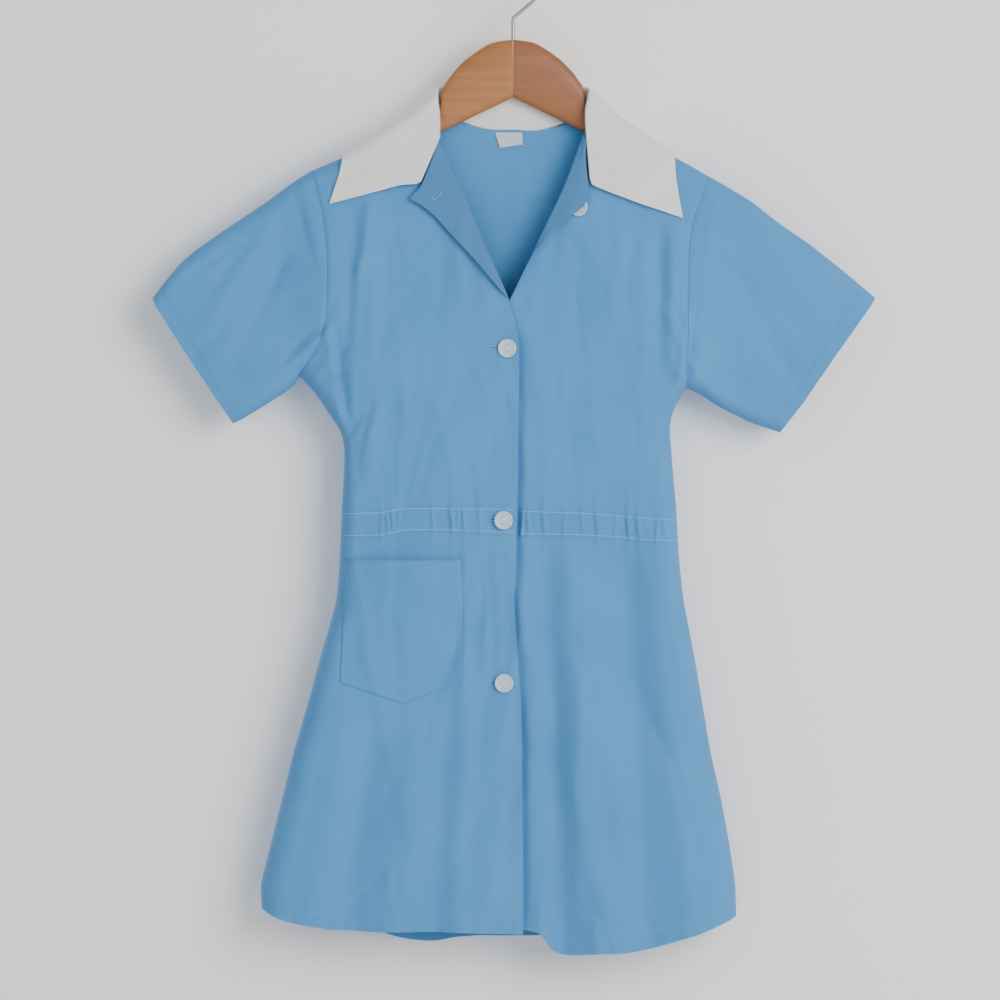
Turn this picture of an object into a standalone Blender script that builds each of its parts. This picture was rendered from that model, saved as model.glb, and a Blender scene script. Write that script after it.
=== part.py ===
"""A child's nurse uniform dress, hanging on a wooden hanger.

The scene is in metres and +Z is up. Every number in the tables is in millimetres. The origin is the
inner top of the hanger's hook, the front of the dress faces -Y and its wearer's right side is at -X.

All cloth is drawn in the XZ plane, as seen from the front, and set to its depth by one function: the
depth is nought on an outline where front and back meet, and grows round a quarter ellipse to the depth
of the section. Front pieces lie at negative Y, back pieces at positive Y. Each piece is a surface of
section rows, thickened along its own normals.
"""

import bpy
import numpy as np

MM = 0.001
CLOTH = 1.2  # wall of every dress panel
DOUBLE = 1.4  # wall of the collar, which is two layers
STRIP = 1.0  # wall of what is sewn on: casing, pocket, label
GAP = 0.3  # between a piece and its neighbour
SEAM = 0.9  # between the middle lines of two pieces sewn edge to edge
HALF_GAP = GAP / 2

FOLD = 2.0  # radius of the turned lapel at its roll line
LAPEL_RISE = 2.2  # how much further the lapel's free edge stands off
LAP = 2.2  # between the middles of the two fronts where they overlap
LAP_FROM, LAP_FULL = 45.0, 22.0  # the overlap's ease, from the middle outwards
UNDER_FULL, UNDER_TO = 9.0, 32.0
ARMPIT_SET = 1.7  # how much further both pieces stay off the armpit's point
SLEEVE_DEPTH = 11.0
SLEEVE_ROUND = 10.0
BODY_TO, SLEEVE_FROM = 150.0, 190.0  # where body depth gives way to sleeve depth
ARMS_ABOVE = -450.0

# A row per level: z, depth of the front, depth of the back, and the in-plane reach of the rounded side.
DEPTHS = np.array(
    [
        (-850.0, 30.0, 26.0, 24.0),
        (-700.0, 26.0, 22.0, 21.0),
        (-600.0, 23.0, 19.0, 18.0),
        (-520.0, 21.0, 16.0, 13.0),
        (-477.0, 19.0, 15.0, 12.0),
        (-440.0, 20.0, 16.0, 12.0),
        (-350.0, 19.0, 15.0, 12.0),
        (-260.0, 17.0, 13.0, 11.0),
        (-200.0, 13.0, 11.5, 10.0),
        (-150.0, 9.5, 9.5, 10.0),
        (-110.0, 9.0, 9.0, 10.0),
    ]
)

# A row per soft fold: x and z of its top, x and z of its foot, half width, height (negative is a
# trough) and how far its ends fade.
FRONT_FOLDS = (
    (-132.0, -215.0, -131.0, -410.0, 9.0, -3.5, 40.0),
    (-118.0, -235.0, -120.0, -440.0, 9.0, 1.8, 50.0),
    (124.0, -240.0, 124.0, -350.0, 8.0, -3.2, 35.0),
    (109.0, -250.0, 108.0, -400.0, 9.0, 1.5, 50.0),
    (-150.0, -330.0, -128.0, -440.0, 6.0, -2.2, 25.0),
    (-60.0, -290.0, -50.0, -450.0, 16.0, 1.6, 50.0),
    (70.0, -300.0, 62.0, -450.0, 18.0, 1.8, 50.0),
    (28.0, -500.0, 44.0, -900.0, 11.0, -5.0, 90.0),
    (44.0, -505.0, 82.0, -900.0, 17.0, 5.5, 90.0),
    (92.0, -500.0, 118.0, -900.0, 15.0, -4.5, 110.0),
    (116.0, -500.0, 160.0, -900.0, 14.0, 4.0, 90.0),
    (-36.0, -500.0, -50.0, -900.0, 11.0, 4.0, 90.0),
    (-48.0, -640.0, -74.0, -900.0, 14.0, -4.5, 70.0),
    (-80.0, -640.0, -112.0, -900.0, 15.0, 5.0, 70.0),
    (-116.0, -650.0, -150.0, -900.0, 14.0, -4.0, 70.0),
    (-140.0, -640.0, -182.0, -900.0, 12.0, 3.5, 70.0),
    (-205.0, -225.0, -255.0, -310.0, 11.0, 2.2, 40.0),
    (-195.0, -262.0, -238.0, -352.0, 10.0, -2.0, 40.0),
    (205.0, -228.0, 262.0, -315.0, 12.0, 2.2, 40.0),
    (186.0, -268.0, 236.0, -360.0, 10.0, -2.0, 40.0),
)
BACK_FOLDS = (
    (-120.0, -230.0, -118.0, -430.0, 10.0, -2.5, 50.0),
    (118.0, -230.0, 116.0, -430.0, 10.0, -2.5, 50.0),
    (-40.0, -230.0, -34.0, -450.0, 18.0, 1.8, 60.0),
    (52.0, -240.0, 44.0, -450.0, 16.0, 1.5, 60.0),
    (-10.0, -500.0, -14.0, -900.0, 16.0, -4.5, 100.0),
    (-40.0, -500.0, -58.0, -900.0, 15.0, 5.0, 100.0),
    (-74.0, -500.0, -104.0, -900.0, 15.0, -4.5, 100.0),
    (-104.0, -500.0, -148.0, -900.0, 14.0, 4.5, 100.0),
    (24.0, -500.0, 34.0, -900.0, 15.0, 5.0, 100.0),
    (60.0, -500.0, 84.0, -900.0, 15.0, -4.5, 100.0),
    (96.0, -500.0, 132.0, -900.0, 14.0, 4.5, 100.0),
    (-210.0, -235.0, -258.0, -318.0, 12.0, 2.0, 40.0),
    (210.0, -235.0, 262.0, -322.0, 12.0, 2.0, 40.0),
)
# A row per pucker of the drawn-in waist: x and height. Each is a short upright ridge.
FRONT_PUCKERS = (
    (-131.0, 0.7), (-122.0, 0.8), (-110.0, 1.3), (-104.0, 1.0), (-96.0, 1.3), (-86.0, 0.9),
    (-75.0, 0.7), (-67.0, 1.0), (-57.0, 0.8), (-50.0, 1.1), (-41.0, 1.0), (-28.0, 0.9),
    (-17.0, 0.6), (9.0, 0.8), (15.0, 0.9), (26.0, 0.8), (36.0, 0.7), (43.0, 0.9),
    (52.0, 0.8), (59.0, 0.9), (70.0, 1.1), (79.0, 0.8), (86.0, 1.0), (97.0, 1.5),
    (105.0, 1.1), (113.0, 0.9), (120.0, 1.2), (127.0, 1.0),
)
BACK_PUCKER_COUNT = 26
BACK_PUCKER_FIRST, BACK_PUCKER_PITCH, BACK_PUCKER_SHIFT = -130.0, 10.4, 2.2
BACK_PUCKER_HEIGHT, BACK_PUCKER_CHANGE = 0.9, 0.3
PUCKER_WIDTH = 2.6

# Outlines where front and back meet, as (x, z).
SHOULDER_RIGHT = ((-168.8, -182.3), (-153.7, -176.0), (-141.1, -170.6), (-103.3, -148.7), (-66.7, -123.7))
SHOULDER_LEFT = ((163.0, -186.5), (148.7, -178.1), (136.1, -171.4), (104.2, -150.4), (67.5, -123.7))
SLEEVE_RIGHT_TOP = (
    (-168.8, -182.3), (-178.9, -188.2), (-191.5, -197.0), (-204.1, -206.7), (-241.9, -231.9),
    (-267.1, -249.5), (-279.7, -260.5), (-292.3, -275.6), (-302.4, -289.0),
)
SLEEVE_RIGHT_LOW = (
    (-178.9, -354.5), (-185.6, -362.9), (-191.5, -368.0), (-216.7, -383.9), (-229.3, -391.5),
    (-235.2, -394.0),
)
CUFF_RIGHT = ((-302.4, -289.0), (-299.0, -297.4), (-273.0, -337.7), (-259.6, -357.9), (-235.2, -394.0))
SLEEVE_LEFT_TOP = (
    (163.0, -186.5), (173.9, -192.4), (199.1, -207.5), (224.3, -227.3), (249.5, -244.5),
    (274.7, -264.5), (304.1, -289.0),
)
SLEEVE_LEFT_LOW = (
    (145.3, -364.6), (152.9, -367.1), (161.3, -372.2), (173.9, -380.6), (199.1, -393.2), (224.3, -401.6),
)
CUFF_LEFT = ((304.1, -289.0), (299.0, -297.4), (270.5, -337.7), (242.8, -378.1), (224.3, -401.6))

# A row per section of a front, from shoulder to hem: the armhole or side edge (x, z), the neck, roll or
# front edge (x, z), and the lapel's free edge (x, z), which is the roll line where there is no lapel.
RIGHT_SECTIONS = np.array(
    [
        (-168.8, -182.3, -66.7, -123.7, -66.7, -123.7),
        (-167.2, -189.1, -65.2, -139.5, -65.2, -139.5),
        (-164.6, -199.1, -62.2, -158.0, -62.2, -158.0),
        (-161.3, -210.9, -57.1, -169.7, -68.8, -176.4),
        (-158.8, -221.8, -52.1, -181.5, -76.8, -196.4),
        (-157.1, -238.6, -44.5, -195.8, -86.5, -206.7),
        (-155.8, -248.7, -39.5, -207.5, -77.3, -211.7),
        (-155.4, -261.3, -33.6, -222.7, -65.5, -221.0),
        (-155.4, -282.3, -27.7, -236.9, -52.1, -236.1),
        (-156.2, -305.8, -16.0, -262.1, -31.1, -258.8),
        (-162.1, -328.5, -3.4, -291.5, -3.4, -291.5),
        (-178.9, -354.5, 2.5, -311.7, 2.5, -311.7),
        (-166.3, -368.0, 5.0, -328.5, 5.0, -328.5),
        (-152.9, -388.1, 5.0, -357.9, 5.0, -357.9),
        (-144.5, -399.9, 4.2, -383.1, 4.2, -383.1),
        (-141.1, -412.5, 4.2, -405.0, 4.2, -405.0),
        (-142.0, -441.9, 3.8, -440.2, 3.8, -440.2),
        (-143.6, -467.1, 3.4, -465.4, 3.4, -465.4),
        (-144.5, -490.6, 2.9, -488.1, 2.9, -488.1),
        (-145.3, -510.8, 2.5, -509.1, 2.5, -509.1),
        (-147.8, -542.7, 0.8, -542.7, 0.8, -542.7),
        (-161.3, -589.7, 3.4, -589.7, 3.4, -589.7),
        (-172.2, -630.1, 6.7, -630.1, 6.7, -630.1),
        (-184.0, -670.4, 7.1, -670.4, 7.1, -670.4),
        (-194.0, -710.7, 7.6, -710.7, 7.6, -710.7),
        (-204.1, -751.0, 8.0, -752.7, 8.0, -752.7),
        (-211.7, -781.3, 8.4, -794.7, 8.4, -794.7),
        (-210.8, -800.6, 8.4, -823.3, 8.4, -823.3),
    ]
)
LEFT_SECTIONS = np.array(
    [
        (163.0, -186.5, 67.5, -123.7, 67.5, -123.7),
        (160.4, -198.3, 65.0, -137.5, 65.0, -137.5),
        (155.4, -211.7, 60.5, -149.9, 60.5, -149.9),
        (152.0, -221.8, 54.6, -164.7, 61.0, -175.1),
        (149.5, -233.6, 46.2, -188.2, 62.9, -198.4),
        (147.8, -245.3, 39.5, -203.3, 59.6, -204.2),
        (147.0, -257.9, 32.8, -217.6, 53.8, -214.3),
        (147.0, -276.4, 23.5, -236.9, 40.3, -227.7),
        (146.6, -289.8, 17.7, -249.5, 29.0, -239.5),
        (146.2, -303.3, 11.8, -262.1, 17.6, -251.2),
        (146.2, -332.7, -3.4, -293.2, -3.4, -293.2),
        (145.3, -364.6, -13.4, -315.9, -13.4, -315.9),
        (137.8, -376.4, -17.6, -332.7, -17.6, -332.7),
        (133.6, -384.8, -18.5, -357.9, -18.5, -357.9),
        (131.0, -396.5, -19.3, -383.1, -19.3, -383.1),
        (131.9, -408.3, -19.3, -403.0, -19.3, -403.0),
        (134.4, -440.2, -19.3, -440.2, -19.3, -440.2),
        (136.9, -465.4, -19.3, -465.4, -19.3, -465.4),
        (137.8, -488.9, -19.3, -488.1, -19.3, -488.1),
        (139.4, -510.8, -19.3, -509.1, -19.3, -509.1),
        (142.8, -542.7, -19.3, -542.7, -19.3, -542.7),
        (152.0, -589.7, -19.3, -589.7, -19.3, -589.7),
        (158.8, -630.1, -19.3, -630.1, -19.3, -630.1),
        (165.5, -670.4, -19.3, -670.4, -19.3, -670.4),
        (174.7, -710.7, -19.3, -710.7, -19.3, -710.7),
        (182.3, -752.7, -19.3, -752.7, -19.3, -752.7),
        (186.5, -782.1, -19.3, -786.3, -19.3, -786.3),
        (187.3, -807.3, -19.3, -819.1, -19.3, -819.1),
    ]
)
ARMHOLE_ROWS = 12  # the sections down to the armpit

HEM_RIGHT = (
    (-210.8, -800.6), (-199.9, -807.0), (-187.3, -811.2), (-152.0, -817.4), (-111.7, -819.1),
    (-61.3, -819.3), (8.4, -821.0),
)
HEM_LEFT = (
    (187.3, -807.3), (157.1, -820.4), (136.1, -827.0), (113.4, -833.9), (94.1, -836.9), (72.2, -837.0),
    (44.5, -839.0), (32.8, -836.2), (24.0, -820.0), (5.9, -817.1), (-19.3, -817.1),
)
HEM_BACK = (
    (-210.8, -800.6), (-187.3, -811.2), (-152.0, -816.9), (-111.7, -823.4), (-89.9, -829.5),
    (-65.5, -832.0), (-49.6, -828.6), (-27.7, -826.1), (22.7, -826.9), (73.1, -828.6),
    (113.4, -826.9), (157.1, -818.2), (187.3, -807.3),
)
NECK_BACK = (
    (-66.7, -123.7), (-54.0, -135.8), (-39.5, -142.0), (-24.4, -146.2), (-12.6, -147.1), (7.6, -147.9),
    (22.7, -147.1), (39.5, -144.5), (55.0, -136.4), (67.5, -123.7),
)

# In-plane distances of the first columns from an outline, dense where the cloth turns.
EDGE_STEPS = np.array([0.0, 0.5, 1.8, 4.5, 9.0, 16.0])
FRONT_COLUMNS = 9  # evenly spaced ones after those
BACK_COLUMNS = 3  # between side and neck
NECK_PARTS = (0.04, 0.12, 0.37, 0.63, 0.88, 0.96, 1.0)  # of the way across the neck
SHOULDER_ROWS = (0.0, 0.04, 0.16, 0.4, 0.75)  # parts of the way from the first section to the second
ARMPIT_ROWS = (0.5, 0.8, 0.94)  # parts of the way from the section above the armpit to the armpit
LAPEL_COLUMNS = 4
SLEEVE_ROWS = (0.0, 0.06, 0.18, 0.34, 0.52, 0.7, 0.87, 1.0)
SHOULDER_FADE, HEM_FADE = 26.0, 45.0

# A row per station of the collar's right half, from its front end to the middle of the back: the seam,
# the crease and the free edge as (x, z) each, then how far seam, stand, fall and free edge lie outside
# the depth of the body there. The side that a station is on is -1 for the front and 1 for the back.
COLLAR_RIGHT = (
    # side, seam, crease, edge, lifts
    (-1, -63.4, -155.6, -61.3, -155.6, -153.7, -210.9, 1.9, 2.4, 5.2, 2.2),
    (-1, -63.6, -138.0, -61.3, -137.0, -146.5, -189.0, 0.2, 2.6, 6.0, 2.3),
    (0, -65.0, -121.6, -62.6, -112.6, -139.4, -166.3, 0.0, 0.0, 0.0, 0.0),
    (1, -52.6, -133.8, -50.0, -112.4, -129.0, -183.0, 0.0, 0.6, 5.6, 3.0),
    (1, -24.4, -144.0, -24.0, -112.4, -66.0, -193.0, 0.0, 0.6, 5.6, 3.0),
    (1, 0.0, -145.3, 0.0, -112.4, 0.0, -196.0, 0.0, 0.6, 5.6, 3.0),
)
COLLAR_LEFT = (
    (-1, 61.9, -147.4, 60.9, -147.2, 142.0, -222.7, 1.9, 2.4, 5.2, 2.2),
    (-1, 63.6, -134.0, 60.4, -131.0, 137.0, -193.0, 0.2, 2.6, 6.0, 2.3),
    (0, 65.8, -121.6, 63.2, -112.6, 133.6, -167.4, 0.0, 0.0, 0.0, 0.0),
    (1, 53.6, -134.0, 51.0, -112.4, 124.0, -184.0, 0.0, 0.6, 5.6, 3.0),
    (1, 24.0, -145.0, 24.0, -112.4, 64.0, -193.0, 0.0, 0.6, 5.6, 3.0),
    (1, 0.0, -145.3, 0.0, -112.4, 0.0, -196.0, 0.0, 0.6, 5.6, 3.0),
)
# The collar's front end, from crease to point.
COLLAR_END_RIGHT = (
    (-61.3, -155.6), (-77.4, -193.2), (-79.0, -194.3),
    (-93.2, -195.0), (-124.3, -203.3), (-153.7, -210.9),
)
COLLAR_END_LEFT = (
    (60.9, -147.2), (65.0, -193.0), (66.6, -195.4),
    (83.0, -202.0), (106.7, -210.9), (142.0, -222.7),
)
COLLAR_ROWS = 5  # between two stations
COLLAR_CROWD = 2.2  # how strongly rows crowd where the collar goes over the shoulder
COLLAR_BULGE = 1.6  # how far the fall swells between crease and edge
COLLAR_SHOULDER = 2  # the station on the shoulder line
COLLAR_SAMPLES = 501
COLLAR_FALL_COLUMNS = 6
COLLAR_ROUND = 11.0
ROLL = 2.4  # how far below the crease its turn starts
END_FADE = 30.0

# A row per station of a casing: x, z of its upper edge, z of its lower edge.
CASING_RIGHT = (
    (-143.9, -467.9, -490.6), (-137.8, -467.9, -490.6), (-112.0, -467.1, -490.3),
    (-90.0, -463.7, -485.6), (-57.0, -463.7, -485.6), (2.2, -464.6, -488.0),
)
CASING_LEFT = (
    (5.4, -466.0, -489.0), (53.8, -467.1, -489.8), (87.0, -469.6, -491.5),
    (113.0, -472.1, -494.4), (137.3, -473.4, -494.6),
)
CASING_BACK = (
    (-143.9, -467.9, -490.6), (-90.0, -466.0, -489.5), (0.0, -467.0, -490.0),
    (90.0, -469.5, -492.0), (137.3, -473.4, -494.6),
)
CASING_STEP = 3.2
CASING_EDGE_STEPS = (0.5, 1.4)
CASING_LIFT = CLOTH / 2 + GAP + STRIP / 2 + 0.4
CASING_PUCKER_ROWS = (0.75, 1.0, 0.75)  # how much of a pucker stands at the upper edge, middle, lower edge
BACK_CASING_STEP = 4.6

# The pocket's rows: z, left x, right x, and how far its face stands off the panel in the middle.
POCKET_ROWS = (
    (-509.1, -141.1, -43.7, 7.4), (-520.0, -141.3, -43.1, 7.2),
    (-542.7, -141.4, -42.0, 6.6), (-557.0, -141.6, -42.2, 6.0),
    (-572.0, -142.4, -42.4, 5.2), (-585.0, -143.0, -42.6, 4.2),
    (-597.0, -143.6, -42.7, 3.0), (-610.7, -144.2, -42.8, 1.4),
)
POCKET_POINT = (-92.4, -628.4)
POCKET_CORNER_DROP = 0.6  # of its lower corners under the last row
POCKET_BULGE_POWER = 0.6
POCKET_PARTS = (0.0, 0.015, 0.035, 0.065, 0.11, 0.17, 0.26, 0.37, 0.5, 0.63, 0.75, 0.86, 0.94, 1.0)
POCKET_SEAM_LIFT = CLOTH / 2 + GAP + STRIP / 2 + 0.35

LABEL_CORNERS = ((-15.1, -149.3), (7.6, -149.3), (-10.9, -162.2), (8.4, -159.4))

BUTTON_RADIUS = 7.8
BUTTON_THICK = 2.4
BUTTON_DISH = 0.7
BUTTON_RIM = 1.6
BUTTON_BACK_BEVEL, BUTTON_FACE_BEVEL = 0.7, 0.6
BUTTON_RIM_DROP, BUTTON_DISH_SLOPE = 0.1, 0.9
BUTTON_ON_CASING = 0.15
BUTTON_HOLE = 0.95
BUTTON_HOLE_APART = 5.0
BUTTON_SIDES = 20
HOLE_SIDES = 8
# name, x, z and what lies under it
BUTTONS = (
    ("button_2", -5.0, -331.9, CLOTH / 2),
    ("button_3", -8.0, -475.6, CASING_LIFT + STRIP / 2 + BUTTON_ON_CASING),
    ("button_4", -7.6, -611.6, CLOTH / 2),
)
LAPEL_BUTTON = (54.6, -213.4)

# The hanger's half: x from the middle, z of its upper edge, z of its lower edge, half thickness.
HANGER_SECTIONS = np.array(
    [
        (0.15, -72.3, -120.8, 5.6),
        (5.4, -72.4, -123.3, 5.8),
        (19.3, -75.2, -130.0, 5.8),
        (36.1, -85.7, -138.0, 5.8),
        (47.9, -96.7, -143.7, 5.8),
        (56.6, -108.0, -147.9, 5.8),
        (59.6, -113.5, -149.3, 5.7),
        (61.5, -124.8, -150.2, 5.6),
        (66.0, -126.1, -152.4, 5.6),
        (84.0, -137.7, -161.5, 5.6),
        (103.3, -151.3, -171.2, 5.5),
        (122.0, -163.6, -180.6, 5.4),
        (141.1, -175.6, -191.4, 5.2),
        (151.0, -181.2, -195.6, 4.6),
        (155.4, -184.0, -195.8, 3.2),
        (157.2, -187.0, -194.2, 1.6),
    ]
)
HANGER_SIDES = 16
SQUARENESS = 0.72
WIRE_RADIUS = 1.5
WIRE_SIDES = 8
HOOK_RADIUS = 24.0  # of the wire's middle line
HOOK_BEND_Z = -53.8
HOOK_FROM, HOOK_TO = -50.0, 192.0  # degrees
HOOK_STEPS = 28
HOOK_BEND_REACH, HOOK_BEND_INNER = 3.0, 1.2  # of the stem's bend, on both sides of its corner
HANGER_TOP_Z = -72.3


def clear_scene():
    for obj in list(bpy.data.objects):
        bpy.data.objects.remove(obj)


def material(name, colour, roughness, metallic=0.0):
    """A plain Principled material."""
    made = bpy.data.materials.new(name)
    made.use_nodes = True
    shader = made.node_tree.nodes["Principled BSDF"]
    shader.inputs["Base Color"].default_value = (*colour, 1.0)
    shader.inputs["Roughness"].default_value = roughness
    shader.inputs["Metallic"].default_value = metallic
    made.diffuse_color = (*colour, 1.0)
    return made


def smooth(value, start, end):
    """0 at start, 1 at end, with level ends."""
    t = np.clip((value - start) / (end - start), 0.0, 1.0)
    return t * t * (3.0 - 2.0 * t)


def along(chain, parts):
    """The points of a chain at the given parts of its length."""
    chain = np.asarray(chain, float)
    lengths = np.r_[0.0, np.cumsum(np.linalg.norm(np.diff(chain, axis=0), axis=1))]
    at = np.asarray(parts, float) * lengths[-1]
    return np.stack([np.interp(at, lengths, chain[:, k]) for k in range(chain.shape[1])], axis=-1)


def distance_to(chains, x, z):
    """In-plane distance of each point to the nearest of several chains."""
    best = np.full(np.shape(x), np.inf)
    for chain in chains:
        points = np.asarray(chain, float)
        for (ax, az), (bx, bz) in zip(points[:-1], points[1:]):
            dx, dz = bx - ax, bz - az
            t = np.clip(((x - ax) * dx + (z - az) * dz) / (dx * dx + dz * dz), 0.0, 1.0)
            best = np.minimum(best, np.hypot(x - ax - t * dx, z - az - t * dz))
    return best


RIGHT_SIDE = RIGHT_SECTIONS[ARMHOLE_ROWS - 1 :, :2]
LEFT_SIDE = LEFT_SECTIONS[ARMHOLE_ROWS - 1 :, :2]
OUTLINES = (
    SHOULDER_RIGHT, SLEEVE_RIGHT_TOP, SLEEVE_RIGHT_LOW, RIGHT_SIDE,
    SHOULDER_LEFT, SLEEVE_LEFT_TOP, SLEEVE_LEFT_LOW, LEFT_SIDE,
)


def section_depth(x, z, back):
    """The full depth of front or back at a point, away from the outlines."""
    body = np.interp(z, DEPTHS[:, 0], DEPTHS[:, 2 if back else 1])
    share = np.where(z > ARMS_ABOVE, smooth(np.abs(x), BODY_TO, SLEEVE_FROM), 0.0)
    return body * (1.0 - share) + SLEEVE_DEPTH * share


def rounding(x, z):
    """0 on an outline and 1 away from it, round a quarter ellipse."""
    reach = np.interp(z, DEPTHS[:, 0], DEPTHS[:, 3])
    share = np.where(z > ARMS_ABOVE, smooth(np.abs(x), BODY_TO, SLEEVE_FROM), 0.0)
    reach = reach * (1.0 - share) + SLEEVE_ROUND * share
    t = np.clip(distance_to(OUTLINES, x, z) / reach, 0.0, 1.0)
    return np.sqrt(1.0 - (1.0 - t) ** 2)


def folds(x, z, rows):
    """The sum of the soft folds, each a bell across and faded at its ends."""
    total = np.zeros(np.shape(x))
    for top_x, top_z, foot_x, foot_z, width, height, fade in rows:
        t = (top_z - z) / (top_z - foot_z)
        middle = top_x + (foot_x - top_x) * t
        half = fade / 2
        window = smooth(z, top_z + half, top_z - half) * smooth(z, foot_z - half, foot_z + half)
        total += height * window * np.exp(-(((x - middle) / width) ** 2))
    return total


def depth(x, z, back):
    """How far the middle of the cloth lies from the plane between front and back."""
    turn = rounding(x, z)
    soft = folds(x, z, BACK_FOLDS if back else FRONT_FOLDS) * turn
    return HALF_GAP + section_depth(x, z, back) * turn + soft


def front_depth(x, z, right):
    """The depth of one of the two fronts, which overlap at the middle."""
    if right:
        lap = LAP / 2 * smooth(x, -LAP_FROM, -LAP_FULL)
    else:
        lap = -LAP / 2 * smooth(x, UNDER_TO, UNDER_FULL)
    return depth(x, z, False) + lap


def triangles(rows, columns, wrap=False):
    """The triangles of a grid of points, row by row."""
    across = columns if wrap else columns - 1
    i, j = np.meshgrid(np.arange(rows - 1), np.arange(across), indexing="ij")
    a = i * columns + j
    b = i * columns + (j + 1) % columns
    c, d = b + columns, a + columns
    return np.concatenate([np.stack([a, b, c], -1).reshape(-1, 3), np.stack([a, c, d], -1).reshape(-1, 3)])


def welded(points, faces):
    """Points at one place made one, and the faces that collapsed dropped."""
    _, first, index = np.unique(np.round(points, 4), axis=0, return_index=True, return_inverse=True)
    faces = index.reshape(-1)[faces]
    whole = (faces[:, 0] != faces[:, 1]) & (faces[:, 1] != faces[:, 2]) & (faces[:, 0] != faces[:, 2])
    return points[first], faces[whole]


def vertex_normals(points, faces):
    a, b, c = (points[faces[:, k]] for k in range(3))
    face_normals = np.cross(b - a, c - a)
    total = np.zeros_like(points)
    for k in range(3):
        np.add.at(total, faces[:, k], face_normals)
    return total / np.maximum(np.linalg.norm(total, axis=1, keepdims=True), 1e-12)


def level_normals(points, normals, outline_y):
    """Makes the normals upright to Y where the piece ends on an outline, so that its rim is flat there."""
    on_outline = np.abs(np.abs(points[:, 1]) - outline_y) < 1e-3
    normals = normals.copy()
    normals[on_outline, 1] = 0.0
    return normals / np.linalg.norm(normals, axis=1, keepdims=True)


def thickened(points, faces, normals, thick):
    """A closed shell of the given wall, half on each side of the surface."""
    ends = np.concatenate([faces[:, [0, 1]], faces[:, [1, 2]], faces[:, [2, 0]]])
    key = np.sort(ends, axis=1)
    _, index, count = np.unique(key, axis=0, return_inverse=True, return_counts=True)
    rim = ends[count[index.reshape(-1)] == 1]
    n = len(points)
    a, b = rim[:, 0], rim[:, 1]
    sides = np.concatenate([np.stack([b, a, a + n], 1), np.stack([b, a + n, b + n], 1)])
    shell = np.concatenate([points + normals * thick / 2, points - normals * thick / 2])
    return shell, np.concatenate([faces, faces[:, ::-1] + n, sides])


def add_object(name, points, faces, look):
    mesh = bpy.data.meshes.new(name)
    mesh.from_pydata((points * MM).tolist(), [], faces.tolist())
    mesh.update()
    obj = bpy.data.objects.new(name, mesh)
    obj.data.materials.append(look)
    bpy.context.scene.collection.objects.link(obj)
    return obj


def add_sheet(name, grid, thick, look, outward, outline_y=None, lift=0.0, wrap=False):
    """A piece of cloth from a grid of middle points. outward is a direction its outer face looks to."""
    rows, columns = grid.shape[:2]
    points, faces = welded(grid.reshape(-1, 3), triangles(rows, columns, wrap))
    normals = vertex_normals(points, faces)
    if (normals @ np.asarray(outward, float)).sum() < 0:
        faces, normals = faces[:, ::-1], -normals
    if outline_y is not None:
        normals = level_normals(points, normals, outline_y)
    shell, sides = thickened(points + normals * lift, faces, normals, thick)
    return add_object(name, shell, sides, look)


def add_tube_sheet(name, grid, thick, look):
    """A closed ring of cloth: its outer face looks away from the middle of its rings."""
    rows, columns = grid.shape[:2]
    points, faces = welded(grid.reshape(-1, 3), triangles(rows, columns, wrap=True))
    normals = vertex_normals(points, faces)
    middle = points.mean(axis=0)
    if ((points - middle)[:, 1] * normals[:, 1]).sum() < 0:
        faces, normals = faces[:, ::-1], -normals
    shell, sides = thickened(points, faces, normals, thick)
    return add_object(name, shell, sides, look)


def section_rows(sections):
    """The section table with extra rows close to the shoulder and to the armpit, where the cloth turns."""
    parts = np.array(SHOULDER_ROWS)[:, None]
    first = sections[0] * (1 - parts) + sections[1] * parts
    above, armpit = sections[ARMHOLE_ROWS - 2], sections[ARMHOLE_ROWS - 1]
    parts = np.array(ARMPIT_ROWS)[:, None]
    extra = above * (1 - parts) + armpit * parts
    return np.concatenate([first, sections[1 : ARMHOLE_ROWS - 1], extra, sections[ARMHOLE_ROWS - 1 :]])


ARMHOLE_COUNT = len(SHOULDER_ROWS) - 1 + len(ARMPIT_ROWS) + ARMHOLE_ROWS  # rows down to the armpit


def row_parts(outer, inner):
    """For each row, the parts of the way across of its columns: set steps from the outer edge, then even."""
    width = np.linalg.norm(inner - outer, axis=1)[:, None]
    near = EDGE_STEPS[None, :] / width
    even = np.linspace(0.0, 1.0, FRONT_COLUMNS + 1)[None, 1:]
    last = near[:, -1:]
    return np.concatenate([near, last + (1.0 - last) * even], axis=1)


def blended(outer, inner, parts, top, hem):
    """Rows straight from outer to inner edge, bent to the shoulder line above and to the hem below."""
    straight = outer[:, None] * (1 - parts[..., None]) + inner[:, None] * parts[..., None]
    bend_top = along_by_part(top, parts[0]) - straight[0]
    bend_hem = along_by_part(hem, parts[-1]) - straight[-1]
    middle = (outer + inner) / 2
    from_top = np.linalg.norm(middle - middle[0], axis=1)
    from_hem = np.linalg.norm(middle - middle[-1], axis=1)
    return (
        straight
        + bend_top[None] * np.exp(-((from_top / SHOULDER_FADE) ** 2))[:, None, None]
        + bend_hem[None] * np.exp(-((from_hem / HEM_FADE) ** 2))[:, None, None]
    )


def along_by_part(chain, parts):
    """A chain's points at parts of the straight way from its first to its last point."""
    chain = np.asarray(chain, float)
    way = chain[-1] - chain[0]
    at = (chain - chain[0]) @ way / (way @ way)
    return np.stack([np.interp(parts, at, chain[:, k]) for k in range(2)], axis=-1)


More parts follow.
